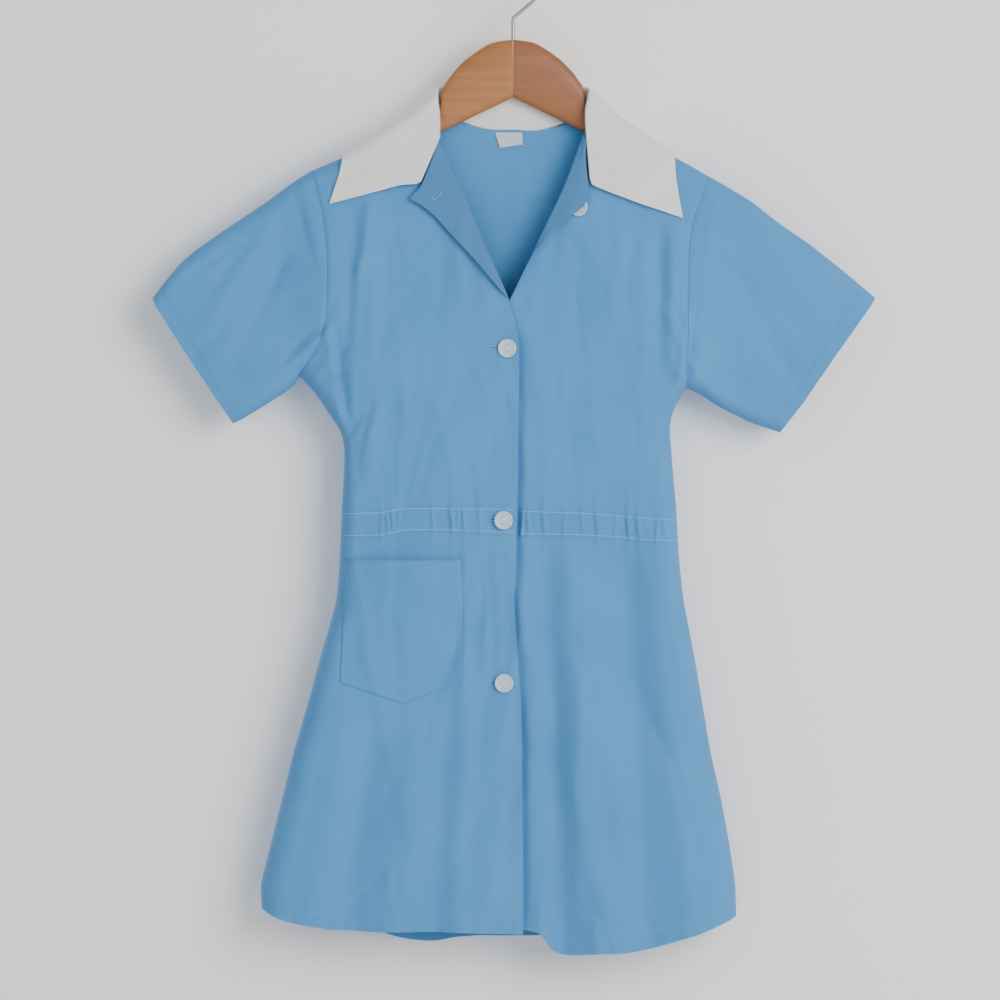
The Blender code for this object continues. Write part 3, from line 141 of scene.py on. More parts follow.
# Smaller folds and tucks that the solids leave out, in the same rows: down from the shoulders, beside
# the armholes, at the sleeve heads and below the waist.
FRONT_TUCKS = (
    (-126.0, -200.0, -129.0, -395.0, 13.0, 3.2, 70.0),
    (-119.0, -208.0, -128.5, -272.0, 5.0, 2.2, 20.0),
    (-129.0, -258.0, -134.5, -388.0, 5.0, 3.0, 26.0),
    (133.5, -232.0, 131.0, -335.0, 8.0, 4.2, 50.0),
    (-156.0, -312.0, -143.0, -402.0, 4.2, 2.2, 22.0),
    (-148.5, -314.0, -139.0, -395.0, 4.2, -1.5, 22.0),
    (-157.0, -318.0, -189.0, -347.0, 5.0, 2.0, 10.0),
    (-162.0, -310.0, -186.0, -334.0, 4.4, -1.4, 10.0),
    (146.0, -302.0, 138.0, -368.0, 4.0, 2.0, 20.0),
    (152.0, -304.0, 144.0, -368.0, 3.6, -1.3, 20.0),
    (-24.0, -497.0, -26.0, -548.0, 4.4, -1.4, 22.0),
    (-38.0, -520.0, -33.0, -600.0, 5.5, -1.6, 30.0),
    (-13.0, -515.0, -11.0, -600.0, 5.0, 1.2, 30.0),
    (-176.0, -195.0, -163.0, -250.0, 4.0, 1.5, 24.0),
    (-183.0, -205.0, -168.0, -262.0, 3.4, -1.1, 24.0),
    (168.0, -208.0, 158.0, -300.0, 4.5, 1.3, 30.0),
    (-36.0, -494.0, -42.0, -610.0, 5.0, 1.6, 60.0),
    (-24.0, -494.0, -22.0, -600.0, 3.6, 1.3, 50.0),
    (-48.0, -640.0, -60.0, -800.0, 12.0, 1.6, 70.0),
)
BACK_FOLDS = (
    (-120.0, -230.0, -118.0, -430.0, 10.0, -2.5, 50.0),
    (118.0, -230.0, 116.0, -430.0, 10.0, -2.5, 50.0),
    (-40.0, -230.0, -34.0, -450.0, 18.0, 1.8, 60.0),
    (52.0, -240.0, 44.0, -450.0, 16.0, 1.5, 60.0),
    (-10.0, -500.0, -14.0, -900.0, 16.0, -4.5, 100.0),
    (-40.0, -500.0, -58.0, -900.0, 15.0, 5.0, 100.0),
    (-74.0, -500.0, -104.0, -900.0, 15.0, -4.5, 100.0),
    (-104.0, -500.0, -148.0, -900.0, 14.0, 4.5, 100.0),
    (24.0, -500.0, 34.0, -900.0, 15.0, 5.0, 100.0),
    (60.0, -500.0, 84.0, -900.0, 15.0, -4.5, 100.0),
    (96.0, -500.0, 132.0, -900.0, 14.0, 4.5, 100.0),
    (-210.0, -235.0, -258.0, -318.0, 12.0, 2.0, 40.0),
    (210.0, -235.0, 262.0, -322.0, 12.0, 2.0, 40.0),
)
# A row per pucker of the drawn-in waist: x and height. Each is a short upright ridge.
FRONT_PUCKERS = (
    (-110.0, 0.8), (-105.0, 0.5), (-100.8, 0.9), (-96.0, 0.6), (-67.2, 0.7), (-51.2, 0.9), (-46.4, 0.5),
    (-41.2, 0.8), (-27.7, 0.6), (7.6, 1.0), (12.6, 0.6), (26.0, 0.8), (42.8, 0.6), (58.0, 0.5),
    (70.6, 0.9), (85.7, 0.6), (96.6, 1.5), (105.0, 0.8), (120.1, 0.7), (126.8, 0.5),
)
BACK_PUCKER_COUNT = 26
BACK_PUCKER_FIRST, BACK_PUCKER_PITCH, BACK_PUCKER_SHIFT = -130.0, 10.4, 2.2
BACK_PUCKER_HEIGHT, BACK_PUCKER_CHANGE = 0.9, 0.3

# Outlines where front and back meet, as (x, z).
SHOULDER_RIGHT = ((-168.8, -182.3), (-153.7, -176.0), (-141.1, -170.6), (-103.3, -148.7), (-66.7, -123.7))
SHOULDER_LEFT = ((163.0, -186.5), (148.7, -178.1), (136.1, -171.4), (104.2, -150.4), (67.5, -123.7))
SLEEVE_RIGHT_TOP = (
    (-168.8, -182.3), (-178.9, -188.2), (-191.5, -197.0), (-204.1, -206.7), (-241.9, -231.9),
    (-267.1, -249.5), (-279.7, -260.5), (-292.3, -275.6), (-302.4, -289.0),
)
SLEEVE_RIGHT_LOW = (
    (-178.9, -354.5), (-185.6, -362.9), (-191.5, -368.0), (-216.7, -383.9), (-229.3, -391.5),
    (-235.2, -394.0),
)
CUFF_RIGHT = ((-302.4, -289.0), (-299.0, -297.4), (-273.0, -337.7), (-259.6, -357.9), (-235.2, -394.0))
SLEEVE_LEFT_TOP = (
    (163.0, -186.5), (173.9, -192.4), (199.1, -207.5), (224.3, -227.3), (249.5, -244.5),
    (274.7, -264.5), (304.1, -289.0),
)
SLEEVE_LEFT_LOW = (
    (145.3, -364.6), (152.9, -367.1), (161.3, -372.2), (173.9, -380.6), (199.1, -393.2), (224.3, -401.6),
)
CUFF_LEFT = ((304.1, -289.0), (299.0, -297.4), (270.5, -337.7), (242.8, -378.1), (224.3, -401.6))

# A row per section of a front, from shoulder to hem: the armhole or side edge (x, z), the neck, roll or
# front edge (x, z), and the lapel's free edge (x, z), which is the roll line where there is no lapel.
RIGHT_SECTIONS = np.array(
    [
        (-168.8, -182.3, -66.7, -123.7, -66.7, -123.7),
        (-167.2, -189.1, -65.2, -139.5, -65.2, -139.5),
        (-164.6, -199.1, -62.2, -158.0, -62.2, -158.0),
        (-161.3, -210.9, -57.1, -169.7, -68.8, -176.4),
        (-158.8, -221.8, -52.1, -181.5, -76.8, -196.4),
        (-157.1, -238.6, -44.5, -195.8, -86.5, -206.7),
        (-155.8, -248.7, -39.5, -207.5, -77.3, -211.7),
        (-155.4, -261.3, -33.6, -222.7, -65.5, -221.0),
        (-155.4, -282.3, -27.7, -236.9, -52.1, -236.1),
        (-156.2, -305.8, -16.0, -262.1, -31.1, -258.8),
        (-162.1, -328.5, -3.4, -291.5, -3.4, -291.5),
        (-178.9, -354.5, 2.5, -311.7, 2.5, -311.7),
        (-166.3, -368.0, 5.0, -328.5, 5.0, -328.5),
        (-152.9, -388.1, 5.0, -357.9, 5.0, -357.9),
        (-144.5, -399.9, 4.2, -383.1, 4.2, -383.1),
        (-141.1, -412.5, 4.2, -405.0, 4.2, -405.0),
        (-142.0, -441.9, 3.8, -440.2, 3.8, -440.2),
        (-143.6, -467.1, 3.4, -465.4, 3.4, -465.4),
        (-144.5, -490.6, 2.9, -488.1, 2.9, -488.1),
        (-145.3, -510.8, 2.5, -509.1, 2.5, -509.1),
        (-147.8, -542.7, 0.8, -542.7, 0.8, -542.7),
        (-161.3, -589.7, 3.4, -589.7, 3.4, -589.7),
        (-172.2, -630.1, 6.7, -630.1, 6.7, -630.1),
        (-184.0, -670.4, 7.1, -670.4, 7.1, -670.4),
        (-194.0, -710.7, 7.6, -710.7, 7.6, -710.7),
        (-204.1, -751.0, 8.0, -752.7, 8.0, -752.7),
        (-211.7, -781.3, 8.4, -794.7, 8.4, -794.7),
        (-210.8, -800.6, 8.4, -823.3, 8.4, -823.3),
    ]
)
LEFT_SECTIONS = np.array(
    [
        (163.0, -186.5, 67.5, -123.7, 67.5, -123.7),
        (160.4, -198.3, 65.0, -137.5, 65.0, -137.5),
        (155.4, -211.7, 60.5, -149.9, 60.5, -149.9),
        (152.0, -221.8, 54.6, -164.7, 61.0, -175.1),
        (149.5, -233.6, 46.2, -188.2, 62.9, -198.4),
        (147.8, -245.3, 39.5, -203.3, 59.6, -204.2),
        (147.0, -257.9, 32.8, -217.6, 53.8, -214.3),
        (147.0, -276.4, 23.5, -236.9, 40.3, -227.7),
        (146.6, -289.8, 17.7, -249.5, 29.0, -239.5),
        (146.2, -303.3, 11.8, -262.1, 17.6, -251.2),
        (146.2, -332.7, -3.4, -293.2, -3.4, -293.2),
        (145.3, -364.6, -13.4, -315.9, -13.4, -315.9),
        (137.8, -376.4, -17.6, -332.7, -17.6, -332.7),
        (133.6, -384.8, -18.5, -357.9, -18.5, -357.9),
        (131.0, -396.5, -19.3, -383.1, -19.3, -383.1),
        (131.9, -408.3, -19.3, -403.0, -19.3, -403.0),
        (134.4, -440.2, -19.3, -440.2, -19.3, -440.2),
        (136.9, -465.4, -19.3, -465.4, -19.3, -465.4),
        (137.8, -488.9, -19.3, -488.1, -19.3, -488.1),
        (139.4, -510.8, -19.3, -509.1, -19.3, -509.1),
        (142.8, -542.7, -19.3, -542.7, -19.3, -542.7),
        (152.0, -589.7, -19.3, -589.7, -19.3, -589.7),
        (158.8, -630.1, -19.3, -630.1, -19.3, -630.1),
        (165.5, -670.4, -19.3, -670.4, -19.3, -670.4),
        (174.7, -710.7, -19.3, -710.7, -19.3, -710.7),
        (182.3, -752.7, -19.3, -752.7, -19.3, -752.7),
        (186.5, -782.1, -19.3, -786.3, -19.3, -786.3),
        (187.3, -807.3, -19.3, -819.1, -19.3, -819.1),
    ]
)
ARMHOLE_ROWS = 12  # the sections down to the armpit

HEM_RIGHT = (
    (-210.8, -800.6), (-199.9, -807.0), (-187.3, -811.2), (-152.0, -817.4), (-111.7, -819.1),
    (-61.3, -819.3), (8.4, -821.0),
)
HEM_LEFT = (
    (187.3, -807.3), (157.1, -820.4), (136.1, -827.0), (113.4, -833.9), (94.1, -836.9), (72.2, -837.0),
    (44.5, -839.0), (32.8, -836.2), (24.0, -820.0), (5.9, -817.1), (-19.3, -817.1),
)
HEM_BACK = (
    (-210.8, -800.6), (-187.3, -811.2), (-152.0, -816.9), (-111.7, -823.4), (-89.9, -829.5),
    (-65.5, -832.0), (-49.6, -828.6), (-27.7, -826.1), (22.7, -826.9), (73.1, -828.6),
    (113.4, -826.9), (157.1, -818.2), (187.3, -807.3),
)
NECK_BACK = (
    (-66.7, -123.7), (-54.0, -135.8), (-39.5, -142.0), (-24.4, -146.2), (-12.6, -147.1), (7.6, -147.9),
    (22.7, -147.1), (39.5, -144.5), (55.0, -136.4), (67.5, -123.7),
)

SHOULDER_FADE, HEM_FADE = 26.0, 45.0

# A row per station of the collar's right half, from its front end to the middle of the back: the seam,
# the crease and the free edge as (x, z) each, then how far seam, stand, fall and free edge lie outside
# the depth of the body there. The side that a station is on is -1 for the front and 1 for the back.
COLLAR_RIGHT = (
    # side, seam, crease, edge, lifts
    (-1, -63.4, -155.6, -61.3, -155.6, -153.7, -210.9, 1.9, 2.4, 5.2, 2.2),
    (-1, -63.6, -138.0, -61.3, -137.0, -146.5, -189.0, 0.2, 2.6, 6.0, 2.3),
    (0, -65.0, -121.6, -62.6, -112.6, -139.4, -166.3, 0.0, 0.0, 0.0, 0.0),
    (1, -52.6, -133.8, -50.0, -112.4, -129.0, -183.0, 0.0, 0.6, 5.6, 3.0),
    (1, -24.4, -144.0, -24.0, -112.4, -66.0, -193.0, 0.0, 0.6, 5.6, 3.0),
    (1, 0.0, -145.3, 0.0, -112.4, 0.0, -196.0, 0.0, 0.6, 5.6, 3.0),
)
COLLAR_LEFT = (
    (-1, 61.9, -147.4, 60.9, -147.2, 142.0, -222.7, 1.9, 2.4, 5.2, 2.2),
    (-1, 63.6, -134.0, 60.4, -131.0, 137.0, -193.0, 0.2, 2.6, 6.0, 2.3),
    (0, 65.8, -121.6, 63.2, -112.6, 133.6, -167.4, 0.0, 0.0, 0.0, 0.0),
    (1, 53.6, -134.0, 51.0, -112.4, 124.0, -184.0, 0.0, 0.6, 5.6, 3.0),
    (1, 24.0, -145.0, 24.0, -112.4, 64.0, -193.0, 0.0, 0.6, 5.6, 3.0),
    (1, 0.0, -145.3, 0.0, -112.4, 0.0, -196.0, 0.0, 0.6, 5.6, 3.0),
)
# The collar's front end, from crease to point.
COLLAR_END_RIGHT = (
    (-61.3, -155.6), (-77.4, -193.2), (-79.0, -194.3),
    (-93.2, -195.0), (-124.3, -203.3), (-153.7, -210.9),
)
COLLAR_END_LEFT = (
    (60.9, -147.2), (65.0, -193.0), (66.6, -195.4),
    (83.0, -202.0), (106.7, -210.9), (142.0, -222.7),
)
COLLAR_CROWD = 2.2  # how strongly rows crowd where the collar goes over the shoulder
COLLAR_BULGE = 1.6  # how far the fall swells between crease and edge
COLLAR_SHOULDER = 2  # the station on the shoulder line
COLLAR_ROUND = 11.0
ROLL = 2.4  # how far below the crease its turn starts
END_FADE = 30.0

# A row per station of a casing: x, z of its upper edge, z of its lower edge.
CASING_RIGHT = (
    (-143.9, -467.9, -490.6), (-137.8, -467.9, -490.6), (-112.0, -467.1, -490.3),
    (-90.0, -463.7, -485.6), (-57.0, -463.7, -485.6), (2.2, -464.6, -488.0),
)
CASING_LEFT = (
    (5.4, -466.0, -489.0), (53.8, -467.1, -489.8), (87.0, -469.6, -491.5),
    (113.0, -472.1, -494.4), (137.3, -473.4, -494.6),
)
CASING_BACK = (
    (-143.9, -467.9, -490.6), (-90.0, -466.0, -489.5), (0.0, -467.0, -490.0),
    (90.0, -469.5, -492.0), (137.3, -473.4, -494.6),
)

# The pocket's rows: z, left x, right x, and how far its face stands off the panel in the middle.
POCKET_ROWS = (
    (-509.1, -141.1, -43.7, 7.4), (-520.0, -141.3, -43.1, 7.2),
    (-542.7, -141.4, -42.0, 6.6), (-557.0, -141.6, -42.2, 6.0),
    (-572.0, -142.4, -42.4, 5.2), (-585.0, -143.0, -42.6, 4.2),
    (-597.0, -143.6, -42.7, 3.0), (-610.7, -144.2, -42.8, 1.4),
)
POCKET_POINT = (-92.4, -628.4)

LABEL_CORNERS = ((-15.1, -149.3), (7.6, -149.3), (-10.9, -162.2), (8.4, -159.4))

BUTTON_RADIUS = 7.8
BUTTON_RIM = 1.6
BUTTON_HOLE = 0.95
BUTTON_HOLE_APART = 5.0
BUTTON_FACE = 1.62  # from its back to its dished face
BUTTON_ON_RUFFLES = 0.5  # how far the ruffles of the casing hold a button up
# A row per fastened button: name, x, z, how far the cloth under it stands over the middle of the front,
# and how far its buttonhole reaches out beside it.
BUTTONS = (
    ("button_2", -5.0, -331.9, CLOTH / 2, 15.5),
    ("button_3", -8.0, -475.6, CLOTH / 2 + (STRIP + BUTTON_ON_RUFFLES), 11.8),
    ("button_4", -7.6, -611.6, CLOTH / 2, 11.8),
)
BUTTONHOLE_INNER, BUTTONHOLE_UP = 4.0, 0.6
LAPEL_BUTTON = (54.6, -213.4)
LAPEL_HOLE = ((-66.8, -207.4), (-60.6, -200.8))
LEFT_LAPEL_BULGE = (-213.0, 5.0, 13.0)

# What is cut for each piece of cloth, in metres: width and length of what shows, its area where it isn't
# a rectangle, and what it hangs on or is sewn to.
CUTS = {
    "front_right": ((0.225, 0.715), 0.119, ("hanger_right",)),
    "front_left": ((0.21, 0.715), 0.119, ("hanger_left",)),
    "back": ((0.41, 0.715), 0.228, ("hanger_right", "hanger_left")),
    "sleeve_right": ((0.37, 0.155), 0.0403, ("front_right", "back")),
    "sleeve_left": ((0.4, 0.165), 0.0454, ("front_left", "back")),
    "collar": ((0.52, 0.085), 0.0342, ("hanger_right", "hanger_left")),
    "casing_front_right": ((0.156, 0.024), None, ("front_right",)),
    "casing_front_left": ((0.142, 0.024), None, ("front_left",)),
    "casing_back": ((0.305, 0.024), None, ("back",)),
    "pocket": ((0.108, 0.12), 0.0115, ("front_right",)),
    "label": ((0.0235, 0.0125), None, ("back",)),
}

# The hanger's half: x from the middle, z of its upper edge, z of its lower edge, half thickness.
HANGER_SECTIONS = np.array(
    [
        (0.15, -72.3, -120.8, 5.6),
        (5.4, -72.4, -123.3, 5.8),
        (19.3, -75.2, -130.0, 5.8),
        (36.1, -85.7, -138.0, 5.8),
        (47.9, -96.7, -143.7, 5.8),
        (56.6, -108.0, -147.9, 5.8),
        (59.6, -113.5, -149.3, 5.7),
        (61.5, -124.8, -150.2, 5.6),
        (66.0, -126.1, -152.4, 5.6),
        (84.0, -137.7, -161.5, 5.6),
        (103.3, -151.3, -171.2, 5.5),
        (122.0, -163.6, -180.6, 5.4),
        (141.1, -175.6, -191.4, 5.2),
        (151.0, -181.2, -195.6, 4.6),
        (155.4, -184.0, -195.8, 3.2),
        (157.2, -187.0, -194.2, 1.6),
    ]
)
SQUARENESS = 0.72
WIRE_RADIUS = 1.5
HOOK_RADIUS = 24.0  # of the wire's middle line
HOOK_BEND_Z = -53.8
HOOK_FROM, HOOK_TO = -50.0, 192.0  # degrees
HANGER_TOP_Z = -72.3
HOOK_BEND_REACH = 3.0


class Side(Enum):
    """The side of the garment that a surface belongs to, as the sign of its Y."""

    FRONT = -1
    BACK = 1

    @property
    def outward(self) -> np.ndarray:
        """The direction that this side looks to."""
        return np.array([0.0, float(self.value), 0.0])


class Front(Enum):
    """The two fronts: the wearer's right one lies on top."""

    RIGHT = -1
    LEFT = 1


def smooth(value: np.ndarray, start: float, end: float) -> np.ndarray:
    """A smooth step.

    Formula: t = (value - start) / (end - start) held in 0..1, result = t^2 (3 - 2t).
    """
    t = np.clip((value - start) / (end - start), 0.0, 1.0)
    return t * t * (3.0 - 2.0 * t)


def quarter(distance: np.ndarray, reach: np.ndarray | float) -> np.ndarray:
    """A quarter ellipse. Formula: sqrt(1 - (1 - t)^2), with t = distance / reach held in 0..1."""
    t = np.clip(distance / reach, 0.0, 1.0)
    return np.sqrt(1.0 - (1.0 - t) ** 2)


def circle(count: int) -> np.ndarray:
    """The even angles of a full turn."""
    return np.linspace(0, 2 * np.pi, count, endpoint=False)


def normalised(vectors: np.ndarray) -> np.ndarray:
    """Vectors made 1 long; one of no length stays nought."""
    return vectors / np.maximum(np.linalg.norm(vectors, axis=-1, keepdims=True), 1e-9)


def length_of(points: np.ndarray) -> float:
    """The length of a chain."""
    return np.linalg.norm(np.diff(points, axis=0), axis=1).sum()


def lengths_along(points: np.ndarray) -> np.ndarray:
    """How far along a chain each of its points lies."""
    return np.r_[0.0, np.cumsum(np.linalg.norm(np.diff(points, axis=0), axis=1))]


def along(chain: Sequence, parts: np.ndarray) -> np.ndarray:
    """The points of a chain at the given parts of its length."""
    points = np.asarray(chain, float)
    lengths = lengths_along(points)
    at = np.asarray(parts, float) * lengths[-1]
    return np.stack([np.interp(at, lengths, points[:, k]) for k in range(points.shape[1])], axis=-1)


def along_way(chain: Sequence, parts: np.ndarray) -> np.ndarray:
    """The points of a chain at parts of the straight way from its first to its last point."""
    points = np.asarray(chain, float)
    way = points[-1] - points[0]
    at = (points - points[0]) @ way / (way @ way)
    return np.stack([np.interp(parts, at, points[:, k]) for k in range(2)], axis=-1)


def distance_to(chains: Sequence, x: np.ndarray, z: np.ndarray) -> np.ndarray:
    """The in-plane distance of each point to the nearest of several chains."""
    best = np.full(np.shape(x), np.inf)
    for chain in chains:
        points = np.asarray(chain, float)
        for (ax, az), (bx, bz) in zip(points[:-1], points[1:]):
            dx, dz = bx - ax, bz - az
            t = np.clip(((x - ax) * dx + (z - az) * dz) / (dx * dx + dz * dz), 0.0, 1.0)
            best = np.minimum(best, np.hypot(x - ax - t * dx, z - az - t * dz))
    return best


def softened(values: np.ndarray, width: int, pinned: Sequence[int]) -> np.ndarray:
    """A polyline's samples averaged with their neighbours, with the pinned samples left where they are.

    Formula: each sample is the mean of those within width of it, eased back to itself near a pinned one.
    """
    kernel = np.hanning(2 * width + 3)[1:-1]
    kernel /= kernel.sum()
    padded = np.pad(values, ((width, width), (0, 0)), mode="edge")
    mean = np.stack([np.convolve(padded[:, k], kernel, "valid") for k in range(values.shape[1])], axis=-1)
    index = np.arange(len(values))
    near = np.min([np.abs(index - p) for p in pinned], axis=0)
    share = smooth(near.astype(float), 0.0, 2.0 * width)[:, None]
    return values * (1 - share) + mean * share


def rounded(chain: Sequence, reach: float, step: float = 1.5) -> np.ndarray:
    """A chain sampled at an even step, with its corners rounded over the given reach."""
    points = np.asarray(chain, float)
    count = int(length_of(points) / step) + 2
    return softened(along(points, np.linspace(0.0, 1.0, count)), max(int(reach / step), 1), (0, count - 1))


RIGHT_SIDE = RIGHT_SECTIONS[ARMHOLE_ROWS - 1 :, :2]
LEFT_SIDE = LEFT_SECTIONS[ARMHOLE_ROWS - 1 :, :2]
OUTLINES = (
    SHOULDER_RIGHT, SLEEVE_RIGHT_TOP, SLEEVE_RIGHT_LOW, RIGHT_SIDE,
    SHOULDER_LEFT, SLEEVE_LEFT_TOP, SLEEVE_LEFT_LOW, LEFT_SIDE,
)


@dataclass
class CreaseField:
    """Fine creases of one zone of cloth, each a short soft ridge or trough.

    Args:
        seed: Picks the creases' places.
        count: How many there are.
        zone: Lowest x, highest x, lowest z and highest z of their middles.
        lean: Mean lean from upright, in degrees, and its spread.
        length: Shortest and longest half length.
        width: Least and greatest half width.
        height: Greatest height of a ridge or depth of a trough.
    """

    seed: int
    count: int
    zone: tuple[float, float, float, float]
    lean: tuple[float, float]
    length: tuple[float, float]
    width: tuple[float, float]
    height: float

    def heights(self, x: np.ndarray, z: np.ndarray) -> np.ndarray:
        """The sum of the creases at each point.

        Formula: sum of h exp(-(a / width)^2) exp(-(l / length)^2), where l runs along a crease and a is
        the way across it, bent a little so that no crease is straight.
        """
        pick = np.random.RandomState(self.seed)
        total = np.zeros(np.shape(x))
        for _ in range(self.count):
            cx, cz = pick.uniform(*self.zone[:2]), pick.uniform(*self.zone[2:])
            lean = math.radians(pick.normal(*self.lean))
            length, width = pick.uniform(*self.length), pick.uniform(*self.width)
            height = self.height * pick.uniform(0.35, 1.0) * pick.choice([-1, 1])
            bend, phase = pick.uniform(-0.25, 0.25), pick.uniform(0.0, 6.0)
            dx, dz = x - cx, z - cz
            run = dz * math.cos(lean) + dx * math.sin(lean)
            off = dx * math.cos(lean) - dz * math.sin(lean)
            off = off + bend * run**2 / length / 2 + 0.25 * width * np.sin(run / width / 2 + phase)
            total += height * np.exp(-((off / width) ** 2) - (run / length) ** 2)
        return total


@dataclass
class GarmentForm:
    """The form that all cloth follows.

    Args:
        front_creases: Fine creases of the front.
        back_creases: Fine creases of the back.
        ripple: Height of the ripples that stitching draws into hems and seams.
        crease_share: Scale of the fine creases.
        groove: Depth of the cloth's dip at an armhole seam.
    """

    front_creases: tuple[CreaseField, ...] = (
        CreaseField(3, 26, (-125, -10, -445, -240), (4, 12), (22, 75), (3.5, 8), 0.55),
        CreaseField(5, 26, (0, 125, -445, -250), (-4, 12), (22, 75), (3.5, 8), 0.55),
        CreaseField(8, 24, (-170, 5, -790, -520), (8, 10), (35, 120), (5, 11), 0.7),
        CreaseField(9, 24, (5, 165, -800, -510), (-8, 10), (35, 120), (5, 11), 0.7),
        CreaseField(12, 14, (-270, -170, -350, -215), (58, 14), (14, 42), (3.5, 8), 0.6),
        CreaseField(14, 14, (165, 270, -360, -215), (-58, 14), (14, 42), (3.5, 8), 0.6),
        CreaseField(17, 12, (-165, -120, -420, -300), (24, 14), (12, 34), (2.6, 5), 0.7),
        CreaseField(18, 12, (118, 155, -420, -300), (-24, 14), (12, 34), (2.6, 5), 0.7),
        CreaseField(21, 9, (20, 150, -830, -770), (-30, 22), (10, 30), (3, 6), 0.8),
        CreaseField(23, 7, (-190, -20, -812, -770), (20, 22), (10, 30), (3, 6), 0.6),
    )
    back_creases: tuple[CreaseField, ...] = (
        CreaseField(31, 40, (-130, 125, -445, -200), (0, 14), (24, 80), (4, 9), 0.6),
        CreaseField(33, 44, (-170, 165, -800, -520), (0, 14), (35, 120), (5, 12), 0.8),
        CreaseField(35, 12, (-270, -170, -350, -215), (58, 14), (14, 42), (3.5, 8), 0.6),
        CreaseField(37, 12, (165, 270, -360, -215), (-58, 14), (14, 42), (3.5, 8), 0.6),
    )
    ripple: float = 0.32
    crease_share: float = 2.3
    groove: float = 0.95

    def section_depth(self, x: np.ndarray, z: np.ndarray, side: Side) -> np.ndarray:
        """The full depth at a point: that of the body's section, giving way to that of the sleeve."""
        body = np.interp(z, DEPTHS[:, 0], DEPTHS[:, 2 if side is Side.BACK else 1])
        share = np.where(z > ARMS_ABOVE, smooth(np.abs(x), BODY_TO, SLEEVE_FROM), 0.0)
        return body * (1.0 - share) + SLEEVE_DEPTH * share

    def rounding(self, x: np.ndarray, z: np.ndarray) -> np.ndarray:
        """Nought on an outline and 1 away from it, round a quarter ellipse of the section's reach."""
        reach = np.interp(z, DEPTHS[:, 0], DEPTHS[:, 3])
        share = np.where(z > ARMS_ABOVE, smooth(np.abs(x), BODY_TO, SLEEVE_FROM), 0.0)
        reach = reach * (1.0 - share) + SLEEVE_ROUND * share
        return quarter(distance_to(OUTLINES, x, z), reach)

    def folds(self, x: np.ndarray, z: np.ndarray, rows: Sequence) -> np.ndarray:
        """The sum of the soft folds.

        Formula: height exp(-((x - m) / width)^2), m on the line from top to foot, faded at both ends.
        """
        total = np.zeros(np.shape(x))
        for top_x, top_z, foot_x, foot_z, width, height, fade in rows:
            t = (top_z - z) / (top_z - foot_z)
            middle = top_x + (foot_x - top_x) * t
            half = fade / 2
            window = smooth(z, top_z + half, top_z - half) * smooth(z, foot_z - half, foot_z + half)
            total += height * window * np.exp(-(((x - middle) / width) ** 2))
        return total

    def gathers(self, x: np.ndarray, z: np.ndarray, puckers: Sequence) -> np.ndarray:
        """The gathers that the drawn-in waist sends up into the bodice and down into the skirt.

        Formula: for each pucker, height exp(-((x - p(z)) / w(z))^2) exp(-d / reach), where d is the way
        from the casing, p spreads with d and w grows with it.
        """
        off = np.maximum(np.abs(z - WAIST_Z) - CASING_HALF, 0.0)
        total = np.zeros(np.shape(x))
        for index, (at, height) in enumerate(puckers):
            drift = GATHER_DRIFTS[index % 2] * off
            width = GATHER_WIDTH + GATHER_GROWTH * off
            reach = GATHER_REACH + GATHER_STEP * (index % 4)
            away = (x - at * (1 + off / GATHER_SPREAD) - drift) / width
            total += GATHER_SHARE * height * np.exp(-(away**2) - off / reach)
        return total

    def seam_ripples(self, x: np.ndarray, z: np.ndarray, side: Side) -> np.ndarray:
        """Ripples along armholes, hems and side seams, which die away within some 10 mm of the stitches."""
        arms = distance_to((RIGHT_SECTIONS[:ARMHOLE_ROWS, :2], LEFT_SECTIONS[:ARMHOLE_ROWS, :2]), x, z)
        hems = (HEM_BACK,) if side is Side.BACK else (HEM_RIGHT, HEM_LEFT)
        hem = distance_to(hems, x, z)
        down = np.sin(z * 0.62 + 1.7 * np.sin(z * 0.083))
        across = np.sin(x * 0.55 + 2.2 * np.sin(x * 0.071)) + 0.6 * np.sin(x * 0.21 + 1.0)
        ripple = down * np.exp(-((arms / ARMHOLE_RIPPLE) ** 2)) + across * np.exp(-((hem / HEM_RIPPLE) ** 2))
        return self.ripple * ripple - self.groove * np.exp(-((arms / GROOVE_WIDTH) ** 2))

    def depth(self, x: np.ndarray, z: np.ndarray, side: Side) -> np.ndarray:
        """How far the middle of the cloth lies from the plane between front and back."""
        turn = self.rounding(x, z)
        back = side is Side.BACK
        soft = self.folds(x, z, BACK_FOLDS if back else FRONT_FOLDS)
        if not back:
            soft = soft + self.folds(x, z, FRONT_TUCKS)
        soft = soft + self.gathers(x, z, back_puckers() if back else FRONT_PUCKERS)
        for creases in self.back_creases if back else self.front_creases:
            soft = soft + self.crease_share * creases.heights(x, z)
        soft = soft + self.seam_ripples(x, z, side)
        return HALF_GAP + (self.section_depth(x, z, side) + soft) * turn

